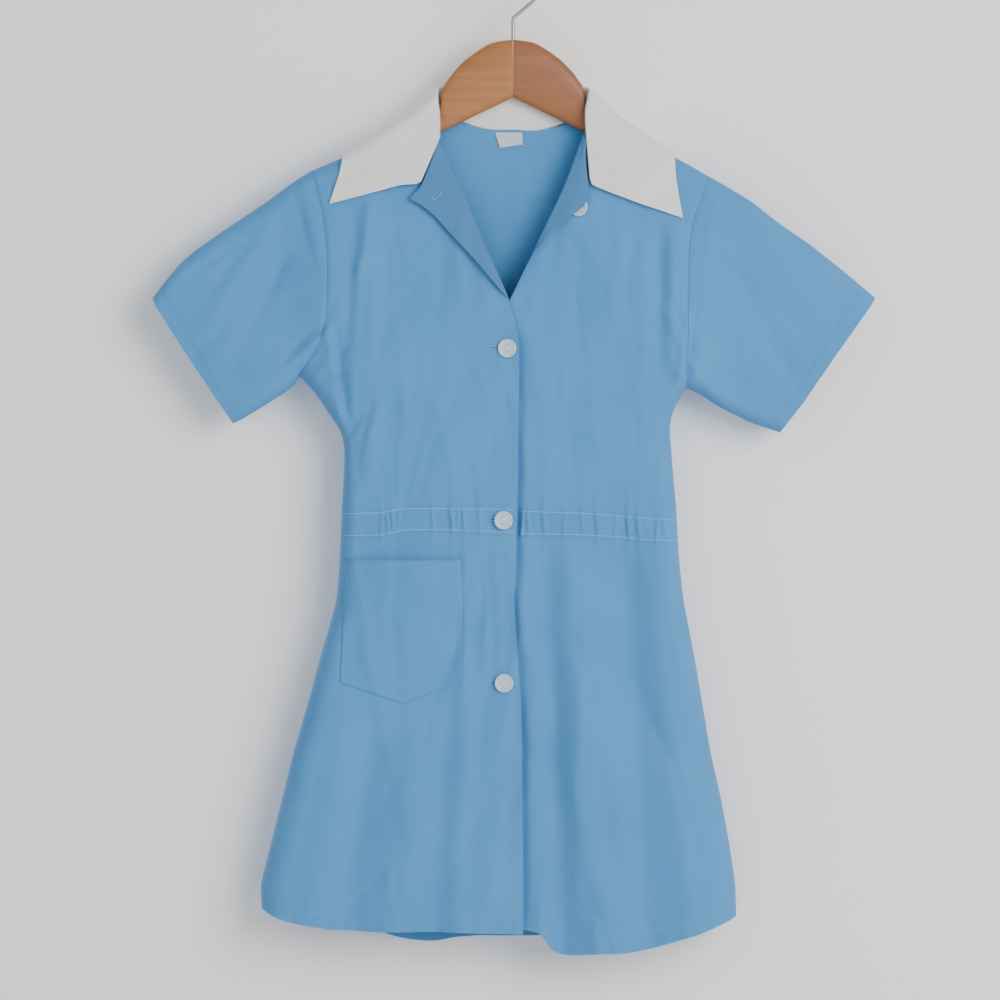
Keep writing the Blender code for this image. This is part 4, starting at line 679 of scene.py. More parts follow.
    def front_depth(self, x: np.ndarray, z: np.ndarray, front: Front) -> np.ndarray:
        """The depth of one of the two fronts, which overlap at the middle."""
        from_edge = x - np.interp(-z, -RIGHT_SECTIONS[:, 3], RIGHT_SECTIONS[:, 2])
        if front is Front.RIGHT:
            lap = LAP / 2 * smooth(x, -LAP_FROM, -LAP_FULL)
            stand = EDGE_STAND + EDGE_STAND_CHANGE * np.sin(z * 0.043 + 0.8)
            near = np.exp(-((from_edge / EDGE_STAND_WIDTH) ** 2))
            lap = lap + stand * near * smooth(z, *EDGE_STAND_FROM)
        else:
            lap = -LAP / 2 * smooth(x, UNDER_TO, UNDER_FULL)
            skirt = smooth(z, *SKIRT_SINK_TOP) * smooth(z, *SKIRT_SINK_FOOT)
            near = np.exp(-((from_edge / EDGE_PRESS_WIDTH) ** 2))
            pressed = EDGE_PRESS * near * smooth(z, *EDGE_PRESS_FROM)
            sunk = SKIRT_SINK * np.exp(-(((x - SKIRT_SINK_X) / SKIRT_SINK_WIDTH) ** 2)) * skirt
            lap = lap - sunk - pressed
        return self.depth(x, z, Side.FRONT) + lap


def back_puckers() -> np.ndarray:
    """The puckers of the back's casing, nearly even, as x and height."""
    i = np.arange(BACK_PUCKER_COUNT)
    x = BACK_PUCKER_FIRST + BACK_PUCKER_PITCH * i + BACK_PUCKER_SHIFT * (i % 3 - 1)
    return np.stack([x, BACK_PUCKER_HEIGHT + BACK_PUCKER_CHANGE * (i % 4 - 1)], axis=-1)


def grid_faces(rows: int, columns: int, wrap: bool = False) -> np.ndarray:
    """The triangles of a grid of points, row by row, closed across where wrap is set."""
    across = columns if wrap else columns - 1
    i, j = np.meshgrid(np.arange(rows - 1), np.arange(across), indexing="ij")
    a = i * columns + j
    b = i * columns + (j + 1) % columns
    c, d = b + columns, a + columns
    return np.concatenate([np.stack([a, b, c], -1).reshape(-1, 3), np.stack([a, c, d], -1).reshape(-1, 3)])


def vertex_normals(points: np.ndarray, faces: np.ndarray) -> np.ndarray:
    """Unit normals at the points: the sum of the area normals of the faces round each."""
    a, b, c = (points[faces[:, k]] for k in range(3))
    area = np.cross(b - a, c - a)
    total = np.stack(
        [
            sum(np.bincount(faces[:, k], weights=area[:, axis], minlength=len(points)) for k in range(3))
            for axis in range(3)
        ],
        axis=-1,
    )
    return total / np.maximum(np.linalg.norm(total, axis=1, keepdims=True), 1e-12)


def turned_outward(points: np.ndarray, faces: np.ndarray) -> np.ndarray:
    """The faces of a closed surface, turned to look outward, as the sign of its volume tells."""
    a, b, c = (points[faces[:, k]] - points.mean(axis=0) for k in range(3))
    return faces if (a * np.cross(b, c)).sum() > 0 else faces[:, ::-1]


@dataclass
class Finish:
    """A finish that builds one material.

    Args:
        name: The material's name.
        slot: The record's material slot; not used.
    """

    name: str
    slot: str

    def start(self) -> tuple[bpy.types.Material, bpy.types.NodeTree, bpy.types.Node]:
        """An empty Principled material.

        Returns:
            The material, its node tree and its shader.
        """
        made = bpy.data.materials.new(self.name)
        made.use_nodes = True
        return made, made.node_tree, made.node_tree.nodes["Principled BSDF"]

    @staticmethod
    def node(tree: bpy.types.NodeTree, kind: str, inputs: dict | None = None, **settings) -> bpy.types.Node:
        """A node with its settings and its inputs: a value is set, and a socket is linked."""
        made = tree.nodes.new(kind)
        for key, value in settings.items():
            setattr(made, key, value)
        for key, value in (inputs or {}).items():
            if isinstance(value, bpy.types.NodeSocket):
                tree.links.new(value, made.inputs[key])
            else:
                made.inputs[key].default_value = value
        return made

    def mixed(
        self, tree: bpy.types.NodeTree, share: bpy.types.NodeSocket, low: Sequence, high: Sequence
    ) -> bpy.types.NodeSocket:
        """A colour between two, by a share socket."""
        mix = self.node(tree, "ShaderNodeMix", data_type="RGBA")
        tree.links.new(share, mix.inputs["Factor"])
        mix.inputs[6].default_value = (*low, 1.0)
        mix.inputs[7].default_value = (*high, 1.0)
        return mix.outputs[2]

    def build(self) -> bpy.types.Material:
        """The material."""
        raise NotImplementedError


@dataclass
class Cotton(Finish):
    """Plain-weave cotton, worn soft: slubs along warp and weft, a faint nap and a little sheen.

    Args:
        low: Colour of its deeper threads.
        high: Colour of its paler threads.
        weave: Threads a metre, as drawn.
        relief: Depth of the weave in metres.
        sheen: Weight of the nap's sheen.
        shaded_lapel_tint: What the lapel's colour is multiplied by: painted shade, in place of the shade that
            falls on the lapel.
    """

    low: tuple[float, float, float]
    high: tuple[float, float, float]
    weave: float = 900.0
    relief: float = 0.00012
    sheen: float = 0.08
    shaded_lapel_tint: tuple[float, float, float] = (0.9, 0.76, 0.75)

    def build(self) -> bpy.types.Material:
        made, tree, shader = self.start()
        place = self.node(tree, "ShaderNodeUVMap", uv_map="cloth").outputs["UV"]
        threads = []
        for stretch in ((self.weave, self.weave / 26, 1.0), (self.weave / 26, self.weave, 1.0)):
            at = self.node(tree, "ShaderNodeMapping", {"Vector": place, "Scale": stretch})
            noise = self.node(
                tree, "ShaderNodeTexNoise", {"Vector": at.outputs[0], "Scale": 1.0, "Detail": 2.0}
            )
            threads.append(noise.outputs["Fac"])
        both = self.node(tree, "ShaderNodeMath", operation="ADD")
        tree.links.new(threads[0], both.inputs[0])
        tree.links.new(threads[1], both.inputs[1])
        wear = self.node(tree, "ShaderNodeTexNoise", {"Vector": place, "Scale": 11.0, "Detail": 3.0})
        shade = self.node(tree, "ShaderNodeMath", {1: 0.34, 2: 0.0}, operation="MULTIPLY_ADD")
        tree.links.new(both.outputs[0], shade.inputs[0])
        tree.links.new(wear.outputs["Fac"], shade.inputs[2])
        level = self.node(
            tree, "ShaderNodeMapRange", {"Value": shade.outputs[0], "From Min": 0.55, "From Max": 1.1}
        )
        colour = self.mixed(tree, level.outputs[0], self.low, self.high)
        # Painted shade: a mask on the lapel multiplies its colour darker, in place of the shade that falls on
        # it.
        turned = self.node(tree, "ShaderNodeAttribute", attribute_name="lapel_shade").outputs["Fac"]
        lapel_shade = self.node(tree, "ShaderNodeMix", data_type="RGBA", blend_type="MULTIPLY")
        tree.links.new(turned, lapel_shade.inputs["Factor"])
        tree.links.new(colour, lapel_shade.inputs[6])
        lapel_shade.inputs[7].default_value = (*self.shaded_lapel_tint, 1.0)
        tree.links.new(lapel_shade.outputs[2], shader.inputs["Base Color"])
        bump = self.node(
            tree, "ShaderNodeBump", {"Height": both.outputs[0], "Distance": self.relief, "Strength": 0.6}
        )
        tree.links.new(bump.outputs[0], shader.inputs["Normal"])
        shader.inputs["Roughness"].default_value = 0.88
        shader.inputs["Specular IOR Level"].default_value = 0.18
        shader.inputs["Sheen Weight"].default_value = self.sheen
        shader.inputs["Sheen Roughness"].default_value = 0.5
        return made


@dataclass
class Wood(Finish):
    """Stained wood with a long grain and a satin coat.

    Args:
        low: Colour of its darker grain.
        high: Colour of its paler grain.
        lean: Slope of the grain, in radians.
        stretch: How close the grain lies along X, Y and Z.
    """

    low: tuple[float, float, float]
    high: tuple[float, float, float]
    lean: float
    stretch: tuple[float, float, float] = (14.0, 90.0, 220.0)

    def build(self) -> bpy.types.Material:
        made, tree, shader = self.start()
        place = self.node(tree, "ShaderNodeTexCoord").outputs["Object"]
        turn = {"Vector": place, "Rotation": (0.0, self.lean, 0.0), "Scale": self.stretch}
        turned = self.node(tree, "ShaderNodeMapping", turn).outputs[0]
        rings = {"Vector": turned, "Scale": 1.0, "Detail": 5.0, "Distortion": 0.6}
        grain = self.node(tree, "ShaderNodeTexNoise", rings)
        level = self.node(
            tree, "ShaderNodeMapRange", {"Value": grain.outputs["Fac"], "From Min": 0.3, "From Max": 0.7}
        )
        tree.links.new(self.mixed(tree, level.outputs[0], self.low, self.high), shader.inputs["Base Color"])
        shader.inputs["Roughness"].default_value = 0.42
        shader.inputs["Coat Weight"].default_value = 0.15
        shader.inputs["Coat Roughness"].default_value = 0.35
        return made


@dataclass
class Plain(Finish):
    """A plain finish of one colour."""

    colour: tuple[float, float, float] = (0.8, 0.8, 0.8)
    roughness: float = 0.5
    metallic: float = 0.0
    subsurface: float = 0.0

    def build(self) -> bpy.types.Material:
        made, _tree, shader = self.start()
        shader.inputs["Base Color"].default_value = (*self.colour, 1.0)
        shader.inputs["Roughness"].default_value = self.roughness
        shader.inputs["Metallic"].default_value = self.metallic
        shader.inputs["Subsurface Weight"].default_value = self.subsurface
        shader.inputs["Subsurface Scale"].default_value = 0.002
        return made


@dataclass
class Wall(Finish):
    """The painted wall behind the dress, seen from the front only."""

    colour: tuple[float, float, float] = (0.87, 0.865, 0.86)

    def build(self) -> bpy.types.Material:
        made, tree, shader = self.start()
        shader.inputs["Base Color"].default_value = (*self.colour, 1.0)
        shader.inputs["Roughness"].default_value = 0.95
        shader.inputs["Specular IOR Level"].default_value = 0.1
        behind = self.node(tree, "ShaderNodeNewGeometry").outputs["Backfacing"]
        clear = self.node(tree, "ShaderNodeBsdfTransparent")
        mix = self.node(tree, "ShaderNodeMixShader", {0: behind, 1: shader.outputs[0], 2: clear.outputs[0]})
        tree.links.new(mix.outputs[0], tree.nodes["Material Output"].inputs["Surface"])
        return made


# The finishes of this dress and its hanger.
BLUE = Cotton("look_cotton_blue", "cotton_blue", (0.055, 0.225, 0.48), (0.073, 0.264, 0.542))
WHITE = Cotton("look_cotton_white", "cotton_white", (0.64, 0.635, 0.635), (0.77, 0.765, 0.76))
TAPE = Cotton("look_label_tape", "cotton_white", (0.46, 0.51, 0.57), (0.56, 0.61, 0.66))
THREAD_BLUE = Plain("thread_blue", "cotton_blue", (0.1, 0.32, 0.6), 0.7)
THREAD_PALE = Plain("thread_pale", "cotton_blue", (0.26, 0.48, 0.7), 0.7)
THREAD_WHITE = Plain("thread_white", "cotton_white", (0.7, 0.7, 0.7), 0.7)
# Painted shade: the near-black colour of the buttonhole slits.
SLIT_SHADE = Plain("slit_shade", "cotton_blue", (0.02, 0.045, 0.09), 0.9)
PLASTIC = Plain("look_button", "button_white", (0.44, 0.55, 0.64), 0.3, 0.0, 0.1)
# Painted shade: the dark colour of the discs that stand for the buttons' holes.
HOLE_SHADE = Plain("button_hole_shade", "button_white", (0.22, 0.27, 0.34), 0.9)
WOOD_RIGHT = Wood("look_wood_right", "wood", (0.28, 0.1, 0.025), (0.36, 0.132, 0.035), 0.55)
# Painted shade: the left half is the same wood drawn darker, for the half that lies away from the light.
WOOD_LEFT_SHADED = Wood("look_wood_left_shaded", "wood", (0.215, 0.072, 0.02), (0.285, 0.098, 0.028), -0.55)
STEEL = Plain("look_steel", "steel", (0.32, 0.31, 0.3), 0.32, 1.0)
WALL_PAINT = Wall("wall_paint", "stage")
FLOOR_PAINT = Plain("floor", "stage", (0.7, 0.7, 0.69), 0.9)


@dataclass
class Piece:
    """A finished piece of the object.

    Args:
        name: The piece's name.
        finish: What it looks like.
        nodes: The solids that it stands for.
    """

    name: str
    finish: Finish
    nodes: tuple[str, ...] = ()

    def mesh(self, points: np.ndarray, faces: np.ndarray, uv: np.ndarray | None = None) -> bpy.types.Object:
        """Makes the piece's object from points in millimetres and triangles or quads.

        Args:
            points: The vertices.
            faces: The faces, as rows of vertex numbers.
            uv: A place on the cloth for each vertex, in metres.

        Returns:
            The object, riding on the row's body.
        """
        data = bpy.data.meshes.new(self.name)
        data.vertices.add(len(points))
        data.vertices.foreach_set("co", (points * MM).astype(np.float32).ravel())
        data.loops.add(faces.size)
        data.loops.foreach_set("vertex_index", faces.astype(np.int32).ravel())
        data.polygons.add(len(faces))
        data.polygons.foreach_set("loop_start", np.arange(0, faces.size, faces.shape[1], dtype=np.int32))
        data.polygons.foreach_set("use_smooth", np.ones(len(faces), bool))
        if uv is not None:
            layer = data.uv_layers.new(name="cloth")
            layer.data.foreach_set("uv", uv[faces.ravel()].astype(np.float32).ravel())
        data.update(calc_edges=True)
        data.validate()
        data.set_sharp_from_angle(angle=math.radians(52))
        obj = bpy.data.objects.new(self.name, data)
        bpy.context.scene.collection.objects.link(obj)
        data.materials.append(MATERIALS.of(self.finish))
        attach(obj, "root")
        if self.nodes:
            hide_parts(*self.nodes)
        return obj


class Materials:
    """Builds each finish once."""

    def __init__(self) -> None:
        self._made: dict[str, bpy.types.Material] = {}

    def of(self, finish: Finish) -> bpy.types.Material:
        """The material of a finish."""
        if finish.name not in self._made:
            self._made[finish.name] = finish.build()
        return self._made[finish.name]


MATERIALS = Materials()


@dataclass
class Cloth(Piece):
    """A piece of cloth: a grid of middle points made into a thin closed shell.

    Args:
        thick: Wall of the cloth.
        flat: Width and length of the cut of what shows, in metres; not used.
        area: Area of that cut where it isn't a rectangle, in square metres; not used.
        rests_on: What it hangs on or is sewn to.
    """

    thick: float = CLOTH
    flat: tuple[float, float] = (0.1, 0.1)
    area: float | None = None
    rests_on: tuple[str, ...] = ()

    def shell(
        self,
        grid: np.ndarray,
        outward: np.ndarray | None,
        wrap: bool = False,
        level: bool = False,
        lapel_shade: np.ndarray | None = None,
    ) -> bpy.types.Object:
        """Thickens the grid half on each side along its normals.

        Args:
            grid: Middle points, rows by columns by 3.
            outward: The direction that the outer face looks to, or None for away from its own middle.
            wrap: Whether the columns close on themselves.
            level: Whether the rims on an outline are kept upright to Y.
            lapel_shade: 1 for each point of the lapel, where the colour is darkened as painted shade.

        Returns:
            The object.
        """
        rows, columns = grid.shape[:2]
        points, faces, uv, first = self._welded(grid, grid_faces(rows, columns, wrap))
        normals = vertex_normals(points, faces)
        look = points - points.mean(axis=0) if outward is None else outward
        if (normals * look).sum() < 0:
            faces, normals = faces[:, ::-1], -normals
        if level:
            rim = np.abs(np.abs(points[:, 1]) - HALF_GAP) < 1e-3
            normals[rim, 1] = 0.0
            normals = normalised(normals)
        ends = np.concatenate([faces[:, [0, 1]], faces[:, [1, 2]], faces[:, [2, 0]]])
        key = np.sort(ends, axis=1)
        _, index, count = np.unique(key, axis=0, return_inverse=True, return_counts=True)
        open_ends = ends[count[index.reshape(-1)] == 1]
        n = len(points)
        a, b = open_ends[:, 0], open_ends[:, 1]
        sides = np.concatenate([np.stack([b, a, a + n], 1), np.stack([b, a + n, b + n], 1)])
        shell = np.concatenate([points + normals * self.thick / 2, points - normals * self.thick / 2])
        obj = self.mesh(shell, np.concatenate([faces, faces[:, ::-1] + n, sides]), np.concatenate([uv, uv]))
        # The lapel's painted-shade mask, stored as a point attribute for the cloth's material.
        if lapel_shade is not None:
            values = np.tile(lapel_shade.ravel()[first], 2).astype(np.float32)
            obj.data.attributes.new("lapel_shade", "FLOAT", "POINT").data.foreach_set("value", values)
        list(self.rests_on)
        LOG.info("%s: %d points", self.name, len(shell))
        return obj

    @staticmethod
    def _welded(grid: np.ndarray, faces: np.ndarray) -> tuple[np.ndarray, ...]:
        """Makes points at one place one, drops collapsed faces and measures a place on the cloth for each.

        Returns:
            The points, the faces, the places in metres and each point's number in the grid.
        """
        across = np.linalg.norm(np.diff(grid, axis=1, prepend=grid[:, :1]), axis=2).cumsum(axis=1)
        down = np.linalg.norm(np.diff(grid, axis=0, prepend=grid[:1]), axis=2).cumsum(axis=0)
        uv = np.stack([across, down], axis=-1).reshape(-1, 2) * MM
        points = grid.reshape(-1, 3)
        _, first, index = np.unique(np.round(points, 4), axis=0, return_index=True, return_inverse=True)
        faces = index.reshape(-1)[faces]
        whole = (faces[:, 0] != faces[:, 1]) & (faces[:, 1] != faces[:, 2]) & (faces[:, 0] != faces[:, 2])
        return points[first], faces[whole], uv[first], first


def cut_cloth(node: str, finish: Finish = BLUE, thick: float = CLOTH) -> Cloth:
    """The cloth that stands for a solid, by its cut."""
    flat, area, rests_on = CUTS[node]
    return Cloth(f"cloth_{node}", finish, (node,), thick, flat, area, rests_on)


@dataclass
class Sections:
    """The rows of a panel, from shoulder to hem, sampled finely from its section table.

    Args:
        table: The section table.
        pitch: Way between two rows, along the panel's middle.
        bulge: A swell of the lapel's free edge: its z, its amount and its half width.
    """

    table: np.ndarray
    pitch: float = 2.6
    bulge: tuple[float, float, float] = (0.0, 0.0, 1.0)
    rows: np.ndarray = field(init=False)
    armpit: int = field(init=False)

    def __post_init__(self) -> None:
        middle = (self.table[:, :2] + self.table[:, 2:4]) / 2
        outer = self.table[:, :2]
        steps = np.maximum(
            np.linalg.norm(np.diff(middle, axis=0), axis=1),
            0.8 * np.linalg.norm(np.diff(outer, axis=0), axis=1),
        )
        lengths = np.r_[0.0, np.cumsum(steps)]
        upper = np.linspace(0.0, lengths[ARMHOLE_ROWS - 1], int(lengths[ARMHOLE_ROWS - 1] / self.pitch) + 1)
        crowd = np.array([0.15, 0.4, 0.8, 1.6])
        upper = np.unique(np.r_[upper, crowd, upper[-1] - crowd])
        rest = lengths[-1] - lengths[ARMHOLE_ROWS - 1]
        lower = np.linspace(0.0, rest, int(rest / self.pitch) + 1)[1:] + upper[-1]
        at = np.r_[upper, lower]
        rows = np.stack([np.interp(at, lengths, self.table[:, k]) for k in range(6)], axis=-1)
        self.armpit = len(upper) - 1
        rows[:, :2] = softened(rows[:, :2], 5, (0, self.armpit, len(rows) - 1))
        bottom = int(np.argmin(np.abs(rows[:, 3] + 300.0)))
        rows[:, 2:4] = softened(rows[:, 2:4], 4, (0, bottom, len(rows) - 1))
        level, amount, width = self.bulge
        push = amount * np.exp(-(((rows[:, 5] - level) / width) ** 2))
        rows[:, 4:6] += normalised(rows[:, 4:6] - rows[:, 2:4]) * push[:, None]
        lapel = np.linalg.norm(self.table[:, 4:6] - self.table[:, 2:4], axis=1)
        plain = np.interp(at, lengths, lapel) < 1e-6
        rows[plain, 4:6] = rows[plain, 2:4]
        self.rows = rows

    def armhole_edge(self, sign: int) -> np.ndarray:
        """The side edge of the rows, set back from the sleeve along the armhole."""
        edge = self.rows[:, :2].copy()
        edge[: self.armpit + 1, 0] -= sign * SEAM / 2
        edge[self.armpit, 0] -= sign * ARMPIT_SET
        return edge


def bent_rows(
    outer: np.ndarray, inner: np.ndarray, parts: np.ndarray, top: Sequence, hem: Sequence
) -> np.ndarray:
    """Rows straight from outer to inner edge, bent to the shoulder line above and to the hem below.

    Formula: p = outer (1 - s) + inner s
    + (top(s) - p0(s)) exp(-(d / a)^2) + (hem(s) - p1(s)) exp(-(e / b)^2),
    where d and e are the ways from the first and the last row, and a and b their fades.
    """
    straight = outer[:, None] * (1 - parts[..., None]) + inner[:, None] * parts[..., None]
    bend_top = along_way(top, parts[0]) - straight[0]
    bend_hem = along_way(hem, parts[-1]) - straight[-1]
    middle = (outer + inner) / 2
    from_top = np.linalg.norm(middle - middle[0], axis=1)
    from_hem = np.linalg.norm(middle - middle[-1], axis=1)
    return (
        straight
        + bend_top[None] * np.exp(-((from_top / SHOULDER_FADE) ** 2))[:, None, None]
        + bend_hem[None] * np.exp(-((from_hem / HEM_FADE) ** 2))[:, None, None]
    )


NEAR_EDGE = np.array([0.0, 0.3, 0.8, 1.6, 2.8, 4.4, 6.4, 8.8, 11.6])


@dataclass
class FrontPanel:
    """One front with its turned lapel.

    Args:
        form: The form that it follows.
        front: Which front it is.
        sections: Its rows.
        shoulder: Its shoulder line.
        hem: Its hem line.
        columns: Even columns between the side and the roll line.
        lapel_columns: Columns across the lapel.
        turn_columns: Columns of the half circle round the roll line.
        turn_shaded: How many of those take the lapel's painted shade.
    """

    form: GarmentForm
    front: Front
    sections: Sections
    shoulder: Sequence
    hem: Sequence
    columns: int = 84
    lapel_columns: int = 24
    turn_columns: int = 11
    turn_shaded: int = 5

    def depth(self, x: np.ndarray, z: np.ndarray) -> np.ndarray:
        """The Y of the panel's middle surface."""
        return -self.form.front_depth(np.asarray(x, float), np.asarray(z, float), self.front)

    def lapel(self, roll: np.ndarray, free: np.ndarray) -> tuple[np.ndarray, list[np.ndarray]]:
        """The turned lapel: a half circle round the roll line, then flat over the front to its free edge.

        Formula: at angle a, p = centre - u r cos a and y = -(depth + r (1 + sin a)); beyond it the lapel
        stands 2r off the front, rising to its edge, with a slight swell and ripple.
        """
        unit = normalised(free - roll)
        radius = np.minimum(FOLD, 0.42 * np.linalg.norm(free - roll, axis=1))
        centre = roll + unit * radius[:, None]
        columns = []
        for angle in np.radians(np.linspace(-90.0, 90.0, self.turn_columns)):
            flat = centre - unit * (radius * np.cos(angle))[:, None]
            y = self.depth(flat[:, 0], flat[:, 1]) - radius * (1 + np.sin(angle))
            columns.append(np.stack([flat[:, 0], y, flat[:, 1]], axis=-1))
        for part in np.linspace(0.0, 1.0, self.lapel_columns + 1)[1:]:
            flat = centre + (free - centre) * part
            wave = 0.5 * np.sin(flat[:, 1] * 0.11 + 1.3 * self.front.value) * part * (radius / FOLD)
            rise = 2 * radius + (LAPEL_RISE * part + 0.8 * math.sin(math.pi * part)) * radius / FOLD + wave
            y = self.depth(flat[:, 0], flat[:, 1]) - rise
            columns.append(np.stack([flat[:, 0], y, flat[:, 1]], axis=-1))
        return centre, columns

    def grid(self) -> np.ndarray:
        """The middle points from the side edge to the lapel's free edge."""
        rows = self.sections.rows
        roll, free = rows[:, 2:4], rows[:, 4:6]
        outer = self.sections.armhole_edge(self.front.value)
        inner, lapel = self.lapel(roll, free)
        width = np.linalg.norm(inner - outer, axis=1)[:, None]
        near = NEAR_EDGE[None] / width
        even = np.linspace(0.0, 1.0, self.columns + 1)[None, 1:]
        parts = np.concatenate([near, near[:, -1:] + (1.0 - near[:, -1:]) * even], axis=1)
        flat = bent_rows(outer, inner, parts, self.shoulder, self.hem)
        y = self.depth(flat[..., 0], flat[..., 1])
        y[0] = -HALF_GAP
        y[self.sections.armpit :, 0] = -HALF_GAP
        panel = np.stack([flat[..., 0], y, flat[..., 1]], axis=-1)
        turned = np.stack(lapel, axis=1)[:, 1:]
        plain = np.linalg.norm(free - roll, axis=1) < 1e-6
        turned[plain] = panel[plain, -1:]
        return np.concatenate([panel, turned], axis=1)

    def build(self, cloth: Cloth) -> bpy.types.Object:
        """Makes the panel."""
        grid = self.grid()
        # Painted shade: the lapel and the outer part of its turn are marked to be drawn darker.
        lapel_shade = np.zeros(grid.shape[:2])
        lapel_shade[:, -(self.lapel_columns + self.turn_shaded) :] = 1.0
        return cloth.shell(grid, Side.FRONT.outward, level=True, lapel_shade=lapel_shade)


@dataclass
class BackPanel:
    """The back, from the right side edge to the left one."""

    form: GarmentForm
    right: Sections
    left: Sections
    hem: Sequence
    side_columns: int = 22
    neck_columns: int = 66

    def depth(self, x: np.ndarray, z: np.ndarray) -> np.ndarray:
        """The Y of the panel's middle surface."""
        return self.form.depth(np.asarray(x, float), np.asarray(z, float), Side.BACK)

    @staticmethod
    def _resampled(edge: np.ndarray, armpit: int, counts: tuple[int, int]) -> np.ndarray:
        """The edge with set counts of points above and below the armpit."""
        upper = along(edge[: armpit + 1], np.linspace(0.0, 1.0, counts[0]))
        lower = along(edge[armpit:], np.linspace(0.0, 1.0, counts[1]))
        return np.concatenate([upper, lower[1:]])

    def grid(self) -> np.ndarray:
        """The middle points, rows from shoulder and neck to hem."""
        counts = (self.right.armpit + 1, len(self.right.rows) - self.right.armpit)
        right = self._resampled(self.right.armhole_edge(-1), self.right.armpit, counts)
        left = self._resampled(self.left.armhole_edge(1), self.left.armpit, counts)
        top = np.array(SHOULDER_RIGHT + NECK_BACK[1:-1] + SHOULDER_LEFT[::-1])
        way = left[0] - right[0]
        neck = [(np.array(point) - right[0]) @ way / (way @ way) for point in (NECK_BACK[0], NECK_BACK[-1])]
        width = np.linalg.norm(left - right, axis=1)[:, None]
        near = NEAR_EDGE[None] / width
        side = np.linspace(0.0, 1.0, self.side_columns + 1)[None, 1:]
        middle = np.linspace(0.0, 1.0, self.neck_columns + 1)[None, 1:]
        first, last = near[:, -1:], 1 - near[:, -1:]
        parts = np.concatenate(
            [
                near,
                first + (neck[0] - first) * side,
                neck[0] + (neck[1] - neck[0]) * middle + 0 * first,
                neck[1] + (last - neck[1]) * side[:, :-1],
                1 - near[:, ::-1],
            ],
            axis=1,
        )
        flat = bent_rows(right, left, parts, top, self.hem)
        y = self.depth(flat[..., 0], flat[..., 1])
        in_neck = (parts[0] > neck[0] + 1e-6) & (parts[0] < neck[1] - 1e-6)
        y[0, ~in_neck] = HALF_GAP
        y[counts[0] - 1 :, [0, -1]] = HALF_GAP
        return np.stack([flat[..., 0], y, flat[..., 1]], axis=-1)

    def build(self, cloth: Cloth) -> bpy.types.Object:
        """Makes the back."""
        return cloth.shell(self.grid(), Side.BACK.outward, level=True)


@dataclass
class Sleeve:
    """A short sleeve: closed rings from the armhole to the cuff."""

    form: GarmentForm
    front: Front
    sections: Sections
    top: Sequence
    low: Sequence
    cuff: Sequence
    rings: int = 64

    def flat(self) -> np.ndarray:
        """The rings' points in the XZ plane, from the top outline to the underarm."""
        sign = self.front.value
        armhole = self.sections.rows[: self.sections.armpit + 1, :2] + np.array([sign * SEAM / 2, 0.0])
        armhole[-1, 0] += sign * ARMPIT_SET
        lengths = lengths_along(armhole)
        parts = lengths / lengths[-1]
        top, low = np.array(self.top, float), np.array(self.low, float)
        top[0], low[0] = armhole[0], armhole[-1]
        rows = np.linspace(0.0, 1.0, self.rings)
        upper = softened(along(top, rows), 4, (0, self.rings - 1))
        lower = softened(along(low, rows), 4, (0, self.rings - 1))
        across = upper[:, None] * (1 - parts[:, None]) + lower[:, None] * parts[:, None]
        bow_in = armhole - across[0]
        bow_out = along(self.cuff, parts) - across[-1]
        share = rows[:, None, None]
        return across + bow_in[None] * (1 - share) ** 1.5 + bow_out[None] * share**2

    def grid(self) -> np.ndarray:
        """The middle points of the closed rings."""
        flat = self.flat()
        x, z = flat[..., 0], flat[..., 1]
        front = np.stack([x, -self.form.depth(x, z, Side.FRONT), z], axis=-1)
        back = np.stack([x, self.form.depth(x, z, Side.BACK), z], axis=-1)
        for half in (front, back):
            half[:, 0, 1] = half[:, -1, 1] = 0.0
        return np.concatenate([front, back[:, -2:0:-1]], axis=1)

    def build(self, cloth: Cloth) -> bpy.types.Object:
        """Makes the sleeve."""
        return cloth.shell(self.grid(), None, wrap=True)


def followed(table: np.ndarray, at: np.ndarray) -> np.ndarray:
    """Each column of a station table followed smoothly from station to station, as a cubic through them."""
    n = len(table)
    slopes = np.gradient(table, axis=0)
    i = np.minimum(at.astype(int), n - 2)
    t = (at - i)[:, None]
    a, b, sa, sb = table[i], table[i + 1], slopes[i], slopes[i + 1]
    return (
        a * (1 + 2 * t) * (1 - t) ** 2
        + sa * t * (1 - t) ** 2
        + b * t**2 * (3 - 2 * t)
        - sb * t**2 * (1 - t)
    )


